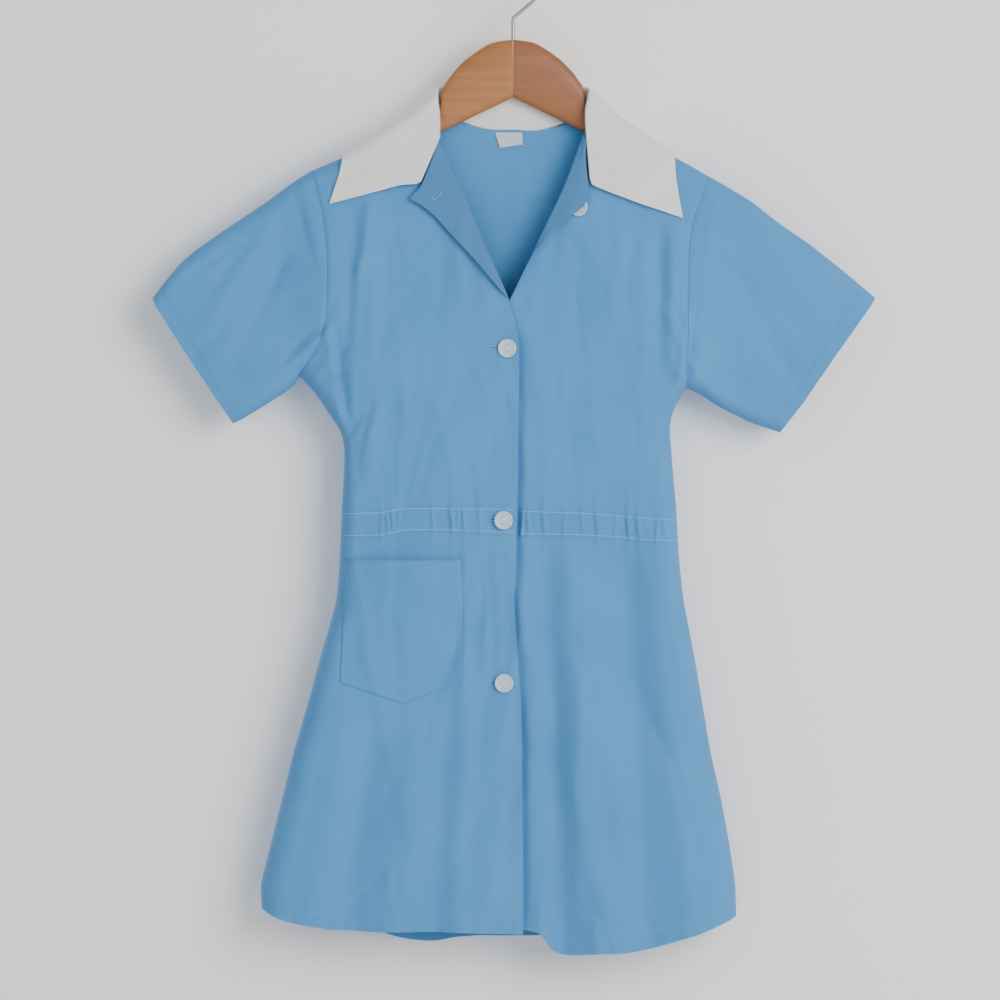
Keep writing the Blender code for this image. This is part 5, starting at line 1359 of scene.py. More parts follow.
@dataclass
class Collar:
    """The pointed collar: a low stand that turns over at the crease and falls outside the dress.

    Args:
        form: The form that it lies on.
        rows: Rows between two stations.
        stand: Columns from the seam to the crease's turn.
        turn: Columns of the crease's turn.
        fall: Columns from there to the free edge.
        tuck: How far its seam edge goes down inside the neck.
        creases: Fine creases of its fall.
    """

    form: GarmentForm
    rows: int = 22
    stand: int = 8
    turn: int = 7
    fall: int = 26
    tuck: float = 1.7
    creases: tuple[CreaseField, ...] = (
        CreaseField(41, 12, (-150, -60, -215, -120), (35, 30), (12, 34), (3, 7), 0.6),
        CreaseField(43, 12, (60, 150, -225, -120), (-35, 30), (12, 34), (3, 7), 0.6),
    )

    def half(self, stations: Sequence, end_chain: Sequence) -> np.ndarray:
        """One half of the collar, from its front end to the middle of the back.

        Formula: y = (body + lift) q, where q is a quarter ellipse of the way walked from the shoulder
        line and lift runs from seam to stand, fall and edge with a swell of sin(pi s).
        """
        table = np.array(stations, float)
        dense = np.linspace(0, 1, self.rows + 1)
        to_shoulder = COLLAR_SHOULDER - (1.0 - dense[1:]) ** COLLAR_CROWD
        from_shoulder = COLLAR_SHOULDER + dense[1:] ** COLLAR_CROWD
        behind = COLLAR_SHOULDER + 1 + np.r_[dense[1:], 1.0 + dense[1:]]
        at = np.unique(np.r_[dense, to_shoulder, from_shoulder, behind])
        rows = followed(table[:, 1:7], at)
        seam, crease, edge = rows[:, 0:2], rows[:, 2:4], rows[:, 4:6]
        lifted = np.flatnonzero(np.arange(len(table)) != COLLAR_SHOULDER)
        seam_lift, stand_lift, fall_lift, edge_lift = (np.interp(at, lifted, c) for c in table[lifted, 7:].T)
        down_stand, down_fall = normalised(seam - crease), normalised(edge - crease)
        roll = np.minimum(ROLL, 0.5 * np.linalg.norm(seam - crease, axis=1))[:, None]
        columns, lifts = [], []
        for part in np.linspace(0.0, 1.0, self.stand):
            columns.append(seam + (crease + down_stand * roll - seam) * part)
            lifts.append(seam_lift + (stand_lift - seam_lift) * part)
        for angle in np.radians(np.linspace(-60.0, 60.0, self.turn)):
            rise = math.cos(angle) - math.cos(math.radians(75.0))
            down = down_stand * roll if angle < 0 else down_fall * ROLL
            columns.append(crease + down * (1.0 - rise))
            lifts.append(stand_lift + (fall_lift - stand_lift) * (1 + math.sin(angle)) / 2)
        start = crease + down_fall * ROLL
        chain = np.array(end_chain, float)
        parts = np.linspace(0.0, 1.0, self.fall)
        start_part = ROLL / length_of(chain)
        end = along(chain, start_part + (1 - start_part) * parts)
        bend = end - (start[0] + (edge[0] - start[0]) * parts[:, None])
        middle = (crease + edge) / 2
        fade = np.exp(-((np.linalg.norm(middle - middle[0], axis=1) / END_FADE) ** 2))
        for k, part in enumerate(parts):
            columns.append(start + (edge - start) * part + bend[k] * fade[:, None])
            ripple = 0.6 * part * np.sin(at * 9.0 + 2.0 * part)
            swell = COLLAR_BULGE * math.sin(math.pi * part) + ripple
            lifts.append(fall_lift * (1 - part) + edge_lift * part + swell)
        flat, lift = np.stack(columns, axis=1), np.stack(lifts, axis=1)
        ridge = int(np.argmin(np.abs(at - COLLAR_SHOULDER)))
        steps = np.linalg.norm(np.diff(flat, axis=0), axis=2)
        walked = np.concatenate([np.zeros((1, flat.shape[1])), np.cumsum(steps, axis=0)])
        front = (at < COLLAR_SHOULDER)[:, None]
        x, z = flat[..., 0], flat[..., 1]
        before, behind = (self.form.section_depth(x, z, side) for side in (Side.FRONT, Side.BACK))
        body = np.where(front, before, behind)
        lift = lift + sum(crease.heights(x, z) for crease in self.creases)
        y = (body + lift) * quarter(np.abs(walked - walked[ridge]), COLLAR_ROUND)
        points = np.stack([x, np.where(front, -y, y), z], axis=-1)
        tuck = points[:, 0] + np.array([0.0, 0.0, -self.tuck])
        tuck[:, 1] = self.form.depth(tuck[:, 0], tuck[:, 2], Side.BACK) - (CLOTH + DOUBLE) / 2 - 0.15
        share = smooth(at, COLLAR_SHOULDER + 0.15, COLLAR_SHOULDER + 0.8)[:, None]
        first = points[:, 0] + (tuck - points[:, 0]) * share
        return np.concatenate([first[:, None], points], axis=1)

    def grid(self) -> np.ndarray:
        """The middle points of the whole collar."""
        right = self.half(COLLAR_RIGHT, COLLAR_END_RIGHT)
        left = self.half(COLLAR_LEFT, COLLAR_END_LEFT)
        return np.concatenate([right, left[-2::-1]])

    def build(self, cloth: Cloth) -> bpy.types.Object:
        """Makes the collar."""
        return cloth.shell(self.grid(), np.array([0.0, 0.0, 1.0]))


@dataclass
class Casing:
    """The waist casing: a strip on a panel, ruffled between its two rows of stitches.

    Args:
        table: Its stations, as x, z of the upper edge and z of the lower edge.
        puckers: Its puckers, as x and height.
        panel: What it is sewn to.
        side: The side that it faces.
        ends: The side seams that it ends at.
        step: Way between two columns.
        rows: Rows from its upper to its lower edge.
        least: Its least lift over the panel beyond its gap.
        end_fade: How far from a side seam the ruffles are full.
    """

    table: Sequence
    puckers: Sequence
    panel: FrontPanel | BackPanel
    side: Side
    ends: tuple[str, ...]
    step: float = 0.7
    rows: int = 13
    least: float = 0.12
    end_fade: float = 9.0

    def surface(self, x: np.ndarray, part: np.ndarray) -> np.ndarray:
        """The middle points at an x and a part of the way from the upper to the lower edge.

        Formula: the lift is that of a laid-on strip plus h sin(pi t)^0.7 exp(-((x - p) / w)^2) for each
        pucker, leaning a little from edge to edge.
        """
        table = np.array(self.table)
        upper, lower = (np.interp(x, table[:, 0], table[:, k]) for k in (1, 2))
        z = upper * (1 - part) + lower * part
        x = x + 0 * part
        if "right" in self.ends:
            x = np.maximum(x, np.interp(-z, -RIGHT_SIDE[:, 1], RIGHT_SIDE[:, 0]))
        if "left" in self.ends:
            x = np.minimum(x, np.interp(-z, -LEFT_SIDE[:, 1], LEFT_SIDE[:, 0]))
        y = self.panel.depth(x, z)
        between = 0.3 + 0.9 * np.sin(math.pi * np.clip(part, 0.0, 1.0)) ** 0.7
        ruffle = np.zeros(np.shape(x))
        for index, (at, height) in enumerate(self.puckers):
            lean = (part - 0.5) * (3.4 if index % 3 else -2.6)
            width = 0.95 + 0.4 * (index % 3)
            tall = height * (0.7 + 0.25 * ((index * 7) % 4))
            ruffle += tall * np.exp(-(((x - at - lean) / width) ** 2))
            ruffle -= 0.5 * tall * np.exp(-(((x - at - lean - 2.1 * width) / (0.8 * width)) ** 2))
        fade = quarter(distance_to(OUTLINES, x, z), self.end_fade)
        standing = self.least + np.maximum(ruffle, -self.least) * between
        lift = (CLOTH + CASING_WALL) / 2 + GAP + standing * fade
        return np.stack([x, y + self.side.value * lift, z], axis=-1)

    def build(self, cloth: Cloth) -> bpy.types.Object:
        """Makes the casing."""
        first, last = self.table[0][0], self.table[-1][0]
        x = np.linspace(first, last, int((last - first) / self.step) + 1)
        part = np.linspace(0.0, 1.0, self.rows)[:, None]
        return cloth.shell(self.surface(x[None], part), self.side.outward)


@dataclass
class Pocket:
    """The patch pocket: sewn on three sides and open at the top, where it stands off the front."""

    panel: FrontPanel
    across: int = 72
    down: int = 44

    def surface(self, u: np.ndarray, v: np.ndarray) -> np.ndarray:
        """The middle points at parts of the way across and down.

        Formula: x between the two sides, z down to a pointed foot, and a lift of b(z) sin(pi u)^0.75.
        """
        rows = np.array(POCKET_ROWS)
        foot = rows[-1, 0]
        z_side = rows[0, 0] + (foot - rows[0, 0]) * v
        left = np.interp(-z_side, -rows[:, 0], rows[:, 1])
        right = np.interp(-z_side, -rows[:, 0], rows[:, 2])
        x = left * (1 - u) + right * u
        tip = np.interp(x, (rows[-1, 1], POCKET_POINT[0], rows[-1, 2]), (foot, POCKET_POINT[1], foot))
        z = z_side + (tip - foot) * v**3
        swell = np.interp(-z_side, -rows[:, 0], rows[:, 3]) * (1.0 - v**6)
        lift = (CLOTH + STRIP) / 2 + GAP + 0.15 + swell * np.sin(math.pi * u) ** 0.75
        bow = np.sin(math.pi * np.clip(u, 0.0, 1.0)) ** 0.5
        lift = lift + 0.9 * np.exp(-((v / 0.06) ** 2)) * bow
        crease = 0.35 * np.sin(x * 0.21 + 1.0) * np.sin(z * 0.05) * bow
        return np.stack([x, self.panel.depth(x, z) - lift - crease * (1 - v**4), z], axis=-1)

    def build(self, cloth: Cloth) -> bpy.types.Object:
        """Makes the pocket."""
        u, v = np.meshgrid(np.linspace(0, 1, self.across), np.linspace(0, 1, self.down))
        return cloth.shell(self.surface(u, v), Side.FRONT.outward)


@dataclass
class Label:
    """The blank neck label, laid on the inside of the back just under its seam."""

    panel: BackPanel

    def build(self, cloth: Cloth) -> bpy.types.Object:
        """Makes the label."""
        a, b, c, d = (np.array(p) for p in LABEL_CORNERS)
        u, v = np.meshgrid(np.linspace(0, 1, 16), np.linspace(0, 1, 10))
        u, v = u[..., None], v[..., None]
        flat = (a * (1 - u) + b * u) * (1 - v) + (c * (1 - u) + d * u) * v
        x, z = flat[..., 0], flat[..., 1]
        curl = 0.7 * v[..., 0] ** 2 * (0.6 + 0.4 * np.sin(3.0 * u[..., 0]))
        y = self.panel.depth(x, z) - (CLOTH + STRIP) / 2 - GAP - 0.3 - curl
        return cloth.shell(np.stack([x, y, z], axis=-1), Side.FRONT.outward)


def tube_parts(middles: np.ndarray, side: np.ndarray, up: np.ndarray) -> tuple[np.ndarray, np.ndarray]:
    """A closed tube: a ring round each middle point, spanned by two directions, and a fan at each end."""
    rings = middles[:, None] + side + up
    rows, count = rings.shape[:2]
    points = np.concatenate([rings.reshape(-1, 3), middles[:1], middles[-1:]])
    first, last = rows * count, rows * count + 1
    i = np.arange(count)
    j = (i + 1) % count
    start = np.stack([np.full(count, first), j, i], axis=1)
    end = np.stack([np.full(count, last), (rows - 1) * count + i, (rows - 1) * count + j], axis=1)
    faces = np.concatenate([grid_faces(rows, count, wrap=True), start, end])
    return points, turned_outward(points, faces)


@dataclass
class Stitches:
    """Rows of machine stitches, each a small flattened thread end to end with the next.

    Args:
        pitch: From one stitch to the next.
        length: Length of a stitch that shows.
        width: Width of the thread.
        rise: How far its middle lies over the cloth.
    """

    pitch: float = 2.7
    length: float = 2.1
    width: float = 0.42
    rise: float = 0.12
    rows: list[tuple[np.ndarray, np.ndarray]] = field(default_factory=list)

    def add(self, path: np.ndarray, outward: np.ndarray) -> None:
        """Adds a row of stitches along a path of points on the cloth's face.

        Args:
            path: Points on the face, in order.
            outward: The direction that the face looks to there.
        """
        lengths = lengths_along(path)
        count = max(int(lengths[-1] / self.pitch), 1)
        starts = (np.arange(count) + 0.5) * lengths[-1] / count
        ends = np.stack([starts - self.length / 2, starts + self.length / 2], axis=1)
        self.rows.append(
            (
                np.stack([np.interp(ends, lengths, path[:, k]) for k in range(3)], axis=-1),
                np.broadcast_to(outward / np.linalg.norm(outward), (count, 3)),
            )
        )

    def build(self, piece: Piece) -> bpy.types.Object:
        """Makes every stitch: a spindle of 5 rings of 6 points, whole-array over all of them."""
        ends = np.concatenate([row[0] for row in self.rows])
        outward = np.concatenate([row[1] for row in self.rows])
        run = normalised(ends[:, 1] - ends[:, 0])
        side = normalised(np.cross(run, outward))
        up = np.cross(side, run)
        part = np.array([0.0, 0.12, 0.5, 0.88, 1.0])
        swell = np.array([0.25, 0.8, 1.0, 0.8, 0.25]) * self.width / 2
        angle = circle(6)
        middle = ends[:, None, 0] * (1 - part[:, None]) + ends[:, None, 1] * part[:, None]
        middle = middle + up[:, None] * (self.rise * (1.2 * np.sin(np.pi * part) - 0.2))[:, None]
        around = (
            side[:, None, None] * np.cos(angle)[:, None] + 0.75 * up[:, None, None] * np.sin(angle)[:, None]
        ) * swell[:, None, None]
        rings = middle[:, :, None] + around
        n, rows, count = rings.shape[:3]
        base = grid_faces(rows, count, wrap=True)
        fan = np.array([(0, k + 1, k) for k in range(1, count - 1)])
        foot = (rows - 1) * count
        far = np.array([(foot, foot + k, foot + k + 1) for k in range(1, count - 1)])
        one = turned_outward(rings[0].reshape(-1, 3), np.concatenate([base, fan, far]))
        faces = (one[None] + (np.arange(n) * rows * count)[:, None, None]).reshape(-1, 3)
        LOG.info("%s: %d stitches", piece.name, n)
        return piece.mesh(rings.reshape(-1, 3), faces)


@dataclass
class Button:
    """A dished two-hole button that looks to -Y, with the thread that holds it."""

    name: str
    x: float
    z: float
    back_y: float
    sides: int = 48

    def build(self, finish: Finish, thread: Finish) -> None:
        """Makes the button: a turned body, a dark disc of painted shade at each of its two holes, and a
        thread from hole to hole.
        """
        inside = BUTTON_RADIUS - BUTTON_RIM
        out = BUTTON_RADIUS
        profile = np.array(
            [
                (out - 0.7, 0.0), (out - 0.2, 0.2), (out, 0.7), (out, 1.7),
                (out - 0.2, 2.15), (out - 0.6, 2.4), (inside, 2.3), (inside - 0.5, 2.0),
                (inside - 0.9, 1.7), (inside - 2.0, BUTTON_FACE), (0.9, 1.6),
            ]
        )
        angle = circle(self.sides)
        ring = np.stack([np.cos(angle), np.zeros(self.sides), np.sin(angle)], axis=-1)
        rings = profile[:, :1, None] * ring[None] + Side.FRONT.outward * profile[:, 1:, None]
        rings = rings + np.array([self.x, self.back_y, self.z])
        points = rings.reshape(-1, 3)
        middle = rings.mean(axis=1)
        points = np.concatenate([points, middle[:1], middle[-1:]])
        n, i = self.sides, np.arange(self.sides)
        j, last = (i + 1) % n, (len(profile) - 1) * n
        back = np.stack([np.full(n, len(points) - 2), i, j], axis=1)
        front = np.stack([np.full(n, len(points) - 1), last + j, last + i], axis=1)
        faces = np.concatenate([grid_faces(len(profile), n, wrap=True), back, front])[:, ::-1]
        Piece(f"look_{self.name}", finish, (self.name,)).mesh(points, turned_outward(points, faces))
        face_y = self.back_y - BUTTON_FACE
        # Each hole is a dark disc laid on the button's face: painted shade, as no hole is cut.
        for index, sign in enumerate((-1, 1)):
            at = np.array([self.x, face_y - 0.03, self.z + sign * BUTTON_HOLE_APART / 2])
            small = np.stack([np.cos(angle), np.zeros(n), np.sin(angle)], axis=-1) * BUTTON_HOLE
            disc = np.concatenate([at + small, [at], at + small + [0, 0.3, 0], [at + [0, 0.3, 0]]])
            top = np.stack([np.full(n, n), i, j], axis=1)
            low = np.stack([np.full(n, 2 * n + 1), n + 1 + j, n + 1 + i], axis=1)
            rim = np.concatenate([np.stack([i, n + 1 + i, n + 1 + j], 1), np.stack([i, n + 1 + j, j], 1)])
            made = turned_outward(disc, np.concatenate([top, low, rim]))
            Piece(f"look_{self.name}_hole_{index}", HOLE_SHADE).mesh(disc, made)
        sewing = Stitches(pitch=4.6, length=5.4, width=0.75, rise=0.35)
        for shift in (-0.35, 0.35):
            ends = [[self.x + shift, face_y - 0.1, self.z + s * 2.7] for s in (-1, 1)]
            sewing.add(np.array(ends), Side.FRONT.outward)
        sewing.build(Piece(f"look_{self.name}_thread", thread))


@dataclass
class Buttonhole:
    """A worked buttonhole: a slit with close stitches round it, looking to -Y."""

    name: str
    ends: np.ndarray
    half_width: float = 0.9
    sides: int = 60
    beads: int = 8

    def build(self, thread: Finish, slit: Finish) -> None:
        """Makes the worked edge as a flattened ring of thread, and in it the slit as a dark strip of painted
        shade.
        """
        outward = Side.FRONT.outward
        length = np.linalg.norm(self.ends[1] - self.ends[0])
        run = (self.ends[1] - self.ends[0]) / length
        side = np.cross(run, outward)
        side /= np.linalg.norm(side)
        turn = circle(self.sides)
        reach = np.sign(np.cos(turn)) * np.abs(np.cos(turn)) ** 0.35
        centre = self.ends.mean(axis=0)
        path = centre + run * (reach * length / 2)[:, None] + side * (np.sin(turn) * self.half_width)[:, None]
        angle = circle(self.beads)
        away = path - centre
        away -= run * (away @ run * 0.9)[:, None]
        away /= np.linalg.norm(away, axis=1, keepdims=True)
        bead = 0.5 + 0.09 * np.sin(turn * 30)
        ring = path[:, None] + bead[:, None, None] * (
            away[:, None] * np.cos(angle)[None, :, None] + 0.6 * outward * np.sin(angle)[None, :, None]
        )
        points = ring.reshape(-1, 3)
        faces = grid_faces(self.sides + 1, self.beads, wrap=True) % len(points)
        a, b, c = (points[faces[:, k]] for k in range(3))
        if ((a - path[faces[:, 0] // self.beads]) * np.cross(b - a, c - a)).sum() < 0:
            faces = faces[:, ::-1]
        Piece(f"{self.name}_edge", thread).mesh(points, faces)
        # The slit: a near-black spindle of painted shade where the cut opens.
        cut = Stitches(pitch=length, length=length * 0.92, width=0.8, rise=0.02)
        cut.add(self.ends + outward * 0.05, outward)
        cut.build(Piece(f"{self.name}_slit", slit))
        LOG.info("%s: %.1f mm", self.name, length)


@dataclass
class HangerHalf:
    """One wooden half: upright slices with rounded corners."""

    front: Front
    slices: int = 60
    sides: int = 36

    def build(self, finish: Finish) -> bpy.types.Object:
        """Makes the half.

        Formula: y = h |cos a|^q, z = m + r |sin a|^q, signed, for each slice, with q its squareness.
        """
        table = HANGER_SECTIONS
        at = np.unique(np.r_[np.linspace(0, len(table) - 1, self.slices), 0.15, 0.4])
        x, top, low, half = followed(table, at).T
        angle = circle(self.sides)
        cosine = np.sign(np.cos(angle)) * np.abs(np.cos(angle)) ** SQUARENESS
        sine = np.sign(np.sin(angle)) * np.abs(np.sin(angle)) ** SQUARENESS
        middles = np.stack([self.front.value * x, np.zeros_like(x), (top + low) / 2], axis=-1)
        across = half[:, None, None] * cosine[None, :, None] * np.array([0.0, 1.0, 0.0])
        up = ((top - low) / 2)[:, None, None] * sine[None, :, None] * np.array([0.0, 0.0, 1.0])
        name = f"hanger_{self.front.name.lower()}"
        return Piece(f"look_{name}", finish, (name,)).mesh(*tube_parts(middles, across, up))


@dataclass
class Hook:
    """The wire hook: a stem on the hanger, a bend, a straight run and the round hook."""

    sides: int = 20

    def build(self, finish: Finish) -> bpy.types.Object:
        """Makes the hook as a wire along its path."""
        centre_z = -(HOOK_RADIUS - WIRE_RADIUS)
        turn = np.radians(np.linspace(HOOK_FROM, HOOK_TO, 96))
        arc = np.stack([HOOK_RADIUS * np.cos(turn), centre_z + HOOK_RADIUS * np.sin(turn)], axis=-1)
        foot, bend = np.array([0.0, HANGER_TOP_Z + GAP]), np.array([0.0, HOOK_BEND_Z])
        up = np.array([0.0, 1.0])
        way = (arc[0] - bend) / np.linalg.norm(arc[0] - bend)
        t = np.linspace(0, 1, 13)[:, None]
        start, end = bend - up * HOOK_BEND_REACH, bend + way * HOOK_BEND_REACH
        curve = start * (1 - t) ** 2 + 2 * bend * t * (1 - t) + end * t**2
        path = np.concatenate([[foot], curve, arc])
        tangent = normalised(np.gradient(path, axis=0))
        tangent[0] = up
        middles = np.stack([path[:, 0], np.zeros(len(path)), path[:, 1]], axis=-1)
        side = np.stack([-tangent[:, 1], np.zeros(len(path)), tangent[:, 0]], axis=-1)
        angle = circle(self.sides)
        radius = np.full(len(path), WIRE_RADIUS)
        radius[-1], radius[-2] = 0.7 * WIRE_RADIUS, 0.95 * WIRE_RADIUS
        across = (radius[:, None] * np.cos(angle))[..., None] * side[:, None]
        depth = (radius[:, None] * np.sin(angle))[..., None] * np.array([0.0, 1.0, 0.0])
        return Piece("look_hook", finish, ("hook",)).mesh(*tube_parts(middles, across, depth))


@dataclass
class Sewing:
    """All the stitch rows that show on the dress."""

    right: FrontPanel
    left: FrontPanel
    back: BackPanel
    casings: dict[str, Casing]
    pocket: Pocket
    sleeves: tuple[Sleeve, Sleeve]
    blue: Stitches = field(default_factory=Stitches)
    pale: Stitches = field(default_factory=lambda: Stitches(pitch=2.9, length=2.3, width=0.55, rise=0.16))

    def on(self, panel: FrontPanel | BackPanel, chain: Sequence, side: Side, step: float = 1.5) -> None:
        """Adds a blue row along a chain of the XZ plane, laid on the face of a panel."""
        points = np.asarray(chain, float)
        count = max(int(length_of(points) / step), 4)
        flat = softened(along(points, np.linspace(0, 1, count)), 2, (0, -1))
        y = panel.depth(flat[:, 0], flat[:, 1]) + side.value * CLOTH / 2
        self.blue.add(np.stack([flat[:, 0], y, flat[:, 1]], axis=-1), side.outward)

    def hems(self) -> None:
        """The hem's row, some 12 to 15 mm up from the edge of each front and of the back."""
        rows = ((self.right, Side.FRONT, 12.0), (self.left, Side.FRONT, 15.0), (self.back, Side.BACK, 13.0))
        for panel, side, up in rows:
            chain = np.asarray(panel.hem, float) + np.array([0.0, up])
            from_ends = np.minimum(np.abs(chain[:, 0] - chain[0, 0]), np.abs(chain[:, 0] - chain[-1, 0]))
            self.on(panel, chain[from_ends > 4.0], side)

    def casing_rows(self) -> None:
        """Two rows on each casing, just inside its edges."""
        for casing in self.casings.values():
            first, last = casing.table[0][0] + 1.0, casing.table[-1][0] - 1.0
            x = np.linspace(first, last, 260)
            for part in (0.1, 0.9):
                path = casing.surface(x, np.full_like(x, part))
                path[:, 1] += casing.side.value * CASING_WALL / 2
                self.pale.add(path, casing.side.outward)

    def pocket_rows(self) -> None:
        """A row round the pocket's sides and foot, and one across its mouth's hem."""
        t, still = np.linspace(0, 1, 60), np.ones(60)
        ways = ((0.022 * still, t), (t, 0.975 * still), (0.978 * still, t[::-1]), (t, 0.15 * still))
        for u, v in ways:
            path = self.pocket.surface(u, v)
            path[:, 1] -= STRIP / 2
            self.blue.add(path, Side.FRONT.outward)

    def edges(self) -> None:
        """Rows beside the front edge and the armholes."""
        right_edge = RIGHT_SECTIONS[ARMHOLE_ROWS:, 2:4] + np.array([-6.0, 0.0])
        self.on(self.right, right_edge, Side.FRONT)
        for panel, table, sign in ((self.right, RIGHT_SECTIONS, 1.0), (self.left, LEFT_SECTIONS, -1.0)):
            armhole = table[1 : ARMHOLE_ROWS - 1, :2] + np.array([sign * 4.0, 0.0])
            self.on(panel, armhole, Side.FRONT)
            self.on(self.back, armhole, Side.BACK)

    def cuffs(self) -> None:
        """A row round each cuff, on the sixth ring in from its edge."""
        for sleeve in self.sleeves:
            grid = sleeve.grid()
            ring = grid[-6] + (grid[-6] - grid[-6].mean(axis=0)) * np.array([0.0, CLOTH / 14, 0.0])
            half = len(sleeve.flat()[0])
            front, back = ring[1 : half - 1], ring[half:]
            for part, side in ((front, Side.FRONT), (back, Side.BACK)):
                self.blue.add(part + side.outward * CLOTH / 2, side.outward)

    def build(self, blue: Finish, pale: Finish) -> None:
        """Makes the stitching."""
        self.hems()
        self.casing_rows()
        self.pocket_rows()
        self.edges()
        self.cuffs()
        self.blue.build(Piece("stitching_blue", blue))
        self.pale.build(Piece("stitching_pale", pale))


@dataclass
class Dress:
    """The dress: its cloth, what is sewn on it, and its fastenings.

    Args:
        form: The form that all its cloth follows.
    """

    form: GarmentForm = field(default_factory=GarmentForm)

    def __post_init__(self) -> None:
        form = self.form
        right_rows = Sections(RIGHT_SECTIONS)
        left_rows = Sections(LEFT_SECTIONS, bulge=LEFT_LAPEL_BULGE)
        self.right = FrontPanel(form, Front.RIGHT, right_rows, SHOULDER_RIGHT, rounded(HEM_RIGHT, 9.0))
        self.left = FrontPanel(form, Front.LEFT, left_rows, SHOULDER_LEFT, rounded(HEM_LEFT, 13.0))
        self.back = BackPanel(form, right_rows, left_rows, rounded(HEM_BACK, 13.0))
        self.sleeves = (
            Sleeve(form, Front.RIGHT, right_rows, SLEEVE_RIGHT_TOP, SLEEVE_RIGHT_LOW, CUFF_RIGHT),
            Sleeve(form, Front.LEFT, left_rows, SLEEVE_LEFT_TOP, SLEEVE_LEFT_LOW, CUFF_LEFT),
        )
        self.casings = {
            "casing_front_right": Casing(CASING_RIGHT, FRONT_PUCKERS, self.right, Side.FRONT, ("right",)),
            "casing_front_left": Casing(CASING_LEFT, FRONT_PUCKERS, self.left, Side.FRONT, ("left",)),
            "casing_back": Casing(CASING_BACK, back_puckers(), self.back, Side.BACK, ("right", "left")),
        }
        self.pocket = Pocket(self.right)

    def cloth(self) -> None:
        """Makes every piece of cloth."""
        self.right.build(cut_cloth("front_right"))
        self.left.build(cut_cloth("front_left"))
        self.back.build(cut_cloth("back"))
        for sleeve in self.sleeves:
            sleeve.build(cut_cloth(f"sleeve_{sleeve.front.name.lower()}"))
        Collar(self.form).build(cut_cloth("collar", WHITE, DOUBLE))
        for node, casing in self.casings.items():
            casing.build(cut_cloth(node, thick=CASING_WALL))
        self.pocket.build(cut_cloth("pocket", thick=STRIP))
        Label(self.back).build(cut_cloth("label", TAPE, LABEL_WALL))

    @staticmethod
    def face(panel: FrontPanel, x: float, z: float, over: float) -> float:
        """The Y of the foremost cloth under a button's rim."""
        angle = np.linspace(0, 2 * np.pi, 24)
        return panel.depth(x + BUTTON_RADIUS * np.cos(angle), z + BUTTON_RADIUS * np.sin(angle)).min() - over

    def fastenings(self) -> None:
        """Makes the fastened buttons with their buttonholes, then the open button and the lapel's hole."""
        for name, x, z, over, reach in BUTTONS:
            face = self.face(self.right, x, z, over)
            Button(name, x, z, face - 0.25).build(PLASTIC, THREAD_WHITE)
            up = z + BUTTONHOLE_UP
            slit = np.array([[x - reach, face, up], [x + BUTTONHOLE_INNER, face, up]])
            slit[:, 1] = self.right.depth(slit[:, 0], slit[:, 2]) - over - 0.05
            Buttonhole(f"hole_{name}", slit).build(THREAD_BLUE, SLIT_SHADE)
        x, z = LAPEL_BUTTON
        Button("button_1", x, z, self.face(self.left, x, z, CLOTH / 2) - 0.1).build(PLASTIC, THREAD_WHITE)
        x, z = np.array(LAPEL_HOLE).T
        y = self.right.depth(x, z) - 2 * FOLD - LAPEL_RISE * 0.6 - CLOTH / 2 - 0.9
        Buttonhole("hole_lapel", np.stack([x, y, z], axis=-1)).build(THREAD_BLUE, SLIT_SHADE)

    def build(self) -> None:
        """Makes the dress."""
        self.cloth()
        sewing = Sewing(self.right, self.left, self.back, self.casings, self.pocket, self.sleeves)
        sewing.build(THREAD_BLUE, THREAD_PALE)
        self.fastenings()


@dataclass
class AreaLight:
    """A square area light aimed at a point, in metres and watts."""

    name: str
    place: tuple[float, float, float]
    aim: tuple[float, float, float]
    power: float
    size: float
    colour: tuple[float, float, float]

    def build(self) -> None:
        """Makes the light."""
        data = bpy.data.lights.new(self.name, "AREA")
        data.energy, data.size, data.color = self.power, self.size, self.colour
        obj = bpy.data.objects.new(self.name, data)
        obj.location = self.place
        obj.rotation_euler = (Vector(self.aim) - Vector(self.place)).to_track_quat("-Z", "Y").to_euler()
        bpy.context.scene.collection.objects.link(obj)


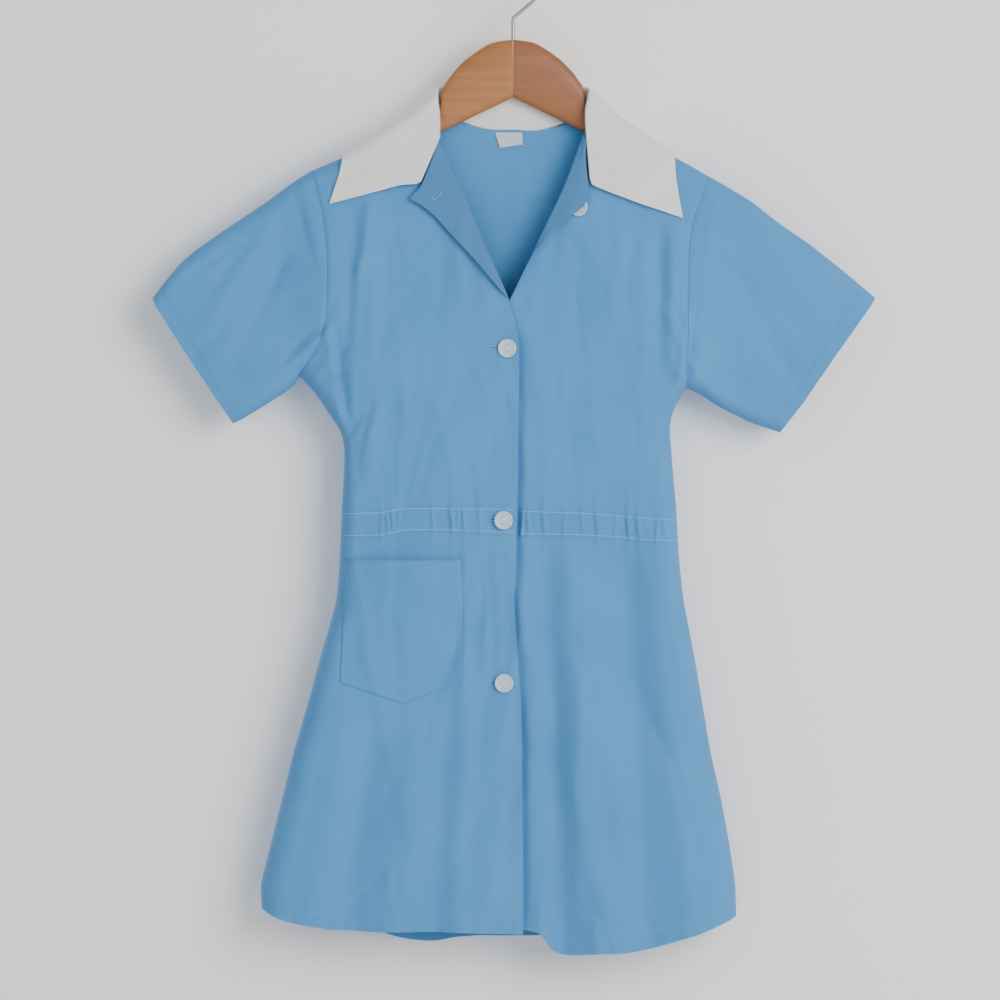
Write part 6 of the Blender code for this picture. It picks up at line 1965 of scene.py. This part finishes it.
@dataclass
class Studio:
    """The floor, wall, lights and camera, in metres."""

    eye: tuple[float, float, float] = (-0.01092, -4.0, -0.4587)
    lens: float = 171.4
    wall_y: float = 0.038
    wall_top: float = 2.0
    floor_z: float = -1.05
    half_width: float = 3.0
    sky: tuple[float, float, float] = (0.92, 0.95, 1.0)
    sky_strength: float = 0.56
    lights: tuple[AreaLight, ...] = (
        AreaLight("key", (1.6, -2.5, 0.15), (0.0, 0.0, -0.55), 88.0, 1.8, (1.0, 0.985, 0.96)),
        AreaLight("fill", (-1.4, -3.2, 0.2), (0.0, 0.0, -0.5), 20.0, 2.5, (0.95, 0.975, 1.0)),
        AreaLight("rear", (-1.2, 3.2, 0.9), (0.0, 0.0, -0.5), 85.0, 2.5, (1.0, 0.99, 0.97)),
    )

    def plane(self, name: str, corners: Sequence, finish: Finish) -> bpy.types.Object:
        """A flat piece of the stage."""
        data = bpy.data.meshes.new(name)
        data.from_pydata(corners, [], [(0, 1, 2, 3)])
        obj = bpy.data.objects.new(name, data)
        data.materials.append(MATERIALS.of(finish))
        bpy.context.scene.collection.objects.link(obj)
        return obj

    def stage(self) -> None:
        """Makes the wall, which takes shadows and throws none, and the floor."""
        w, y, foot, top = self.half_width, self.wall_y, self.floor_z, self.wall_top
        wall = self.plane("wall", [(-w, y, foot), (w, y, foot), (w, y, top), (-w, y, top)], WALL_PAINT)
        floor = self.plane("floor", [(-w, -w, foot), (w, -w, foot), (w, w, foot), (-w, w, foot)], FLOOR_PAINT)
        wall.visible_shadow = False

    def camera(self) -> None:
        """Makes the camera, which looks straight along +Y."""
        data = bpy.data.cameras.new("camera")
        data.lens, data.sensor_width = self.lens, 36.0
        camera = bpy.data.objects.new("camera", data)
        camera.location = self.eye
        camera.rotation_euler = (math.radians(90), 0.0, 0.0)
        bpy.context.scene.collection.objects.link(camera)
        bpy.context.scene.camera = camera

    def build(self) -> None:
        """Sets up stage, light and camera."""
        self.stage()
        for light in self.lights:
            light.build()
        world = bpy.data.worlds.new("studio")
        world.use_nodes = True
        background = world.node_tree.nodes["Background"]
        background.inputs["Color"].default_value = (*self.sky, 1.0)
        background.inputs["Strength"].default_value = self.sky_strength
        bpy.context.scene.world = world
        self.camera()


def main() -> None:
    """Builds the dress, the hanger and the studio."""
    Dress().build()
    HangerHalf(Front.RIGHT).build(WOOD_RIGHT)
    HangerHalf(Front.LEFT).build(WOOD_LEFT_SHADED)
    Hook().build(STEEL)
    Studio().build()


if __name__ == "__main__":
    main()
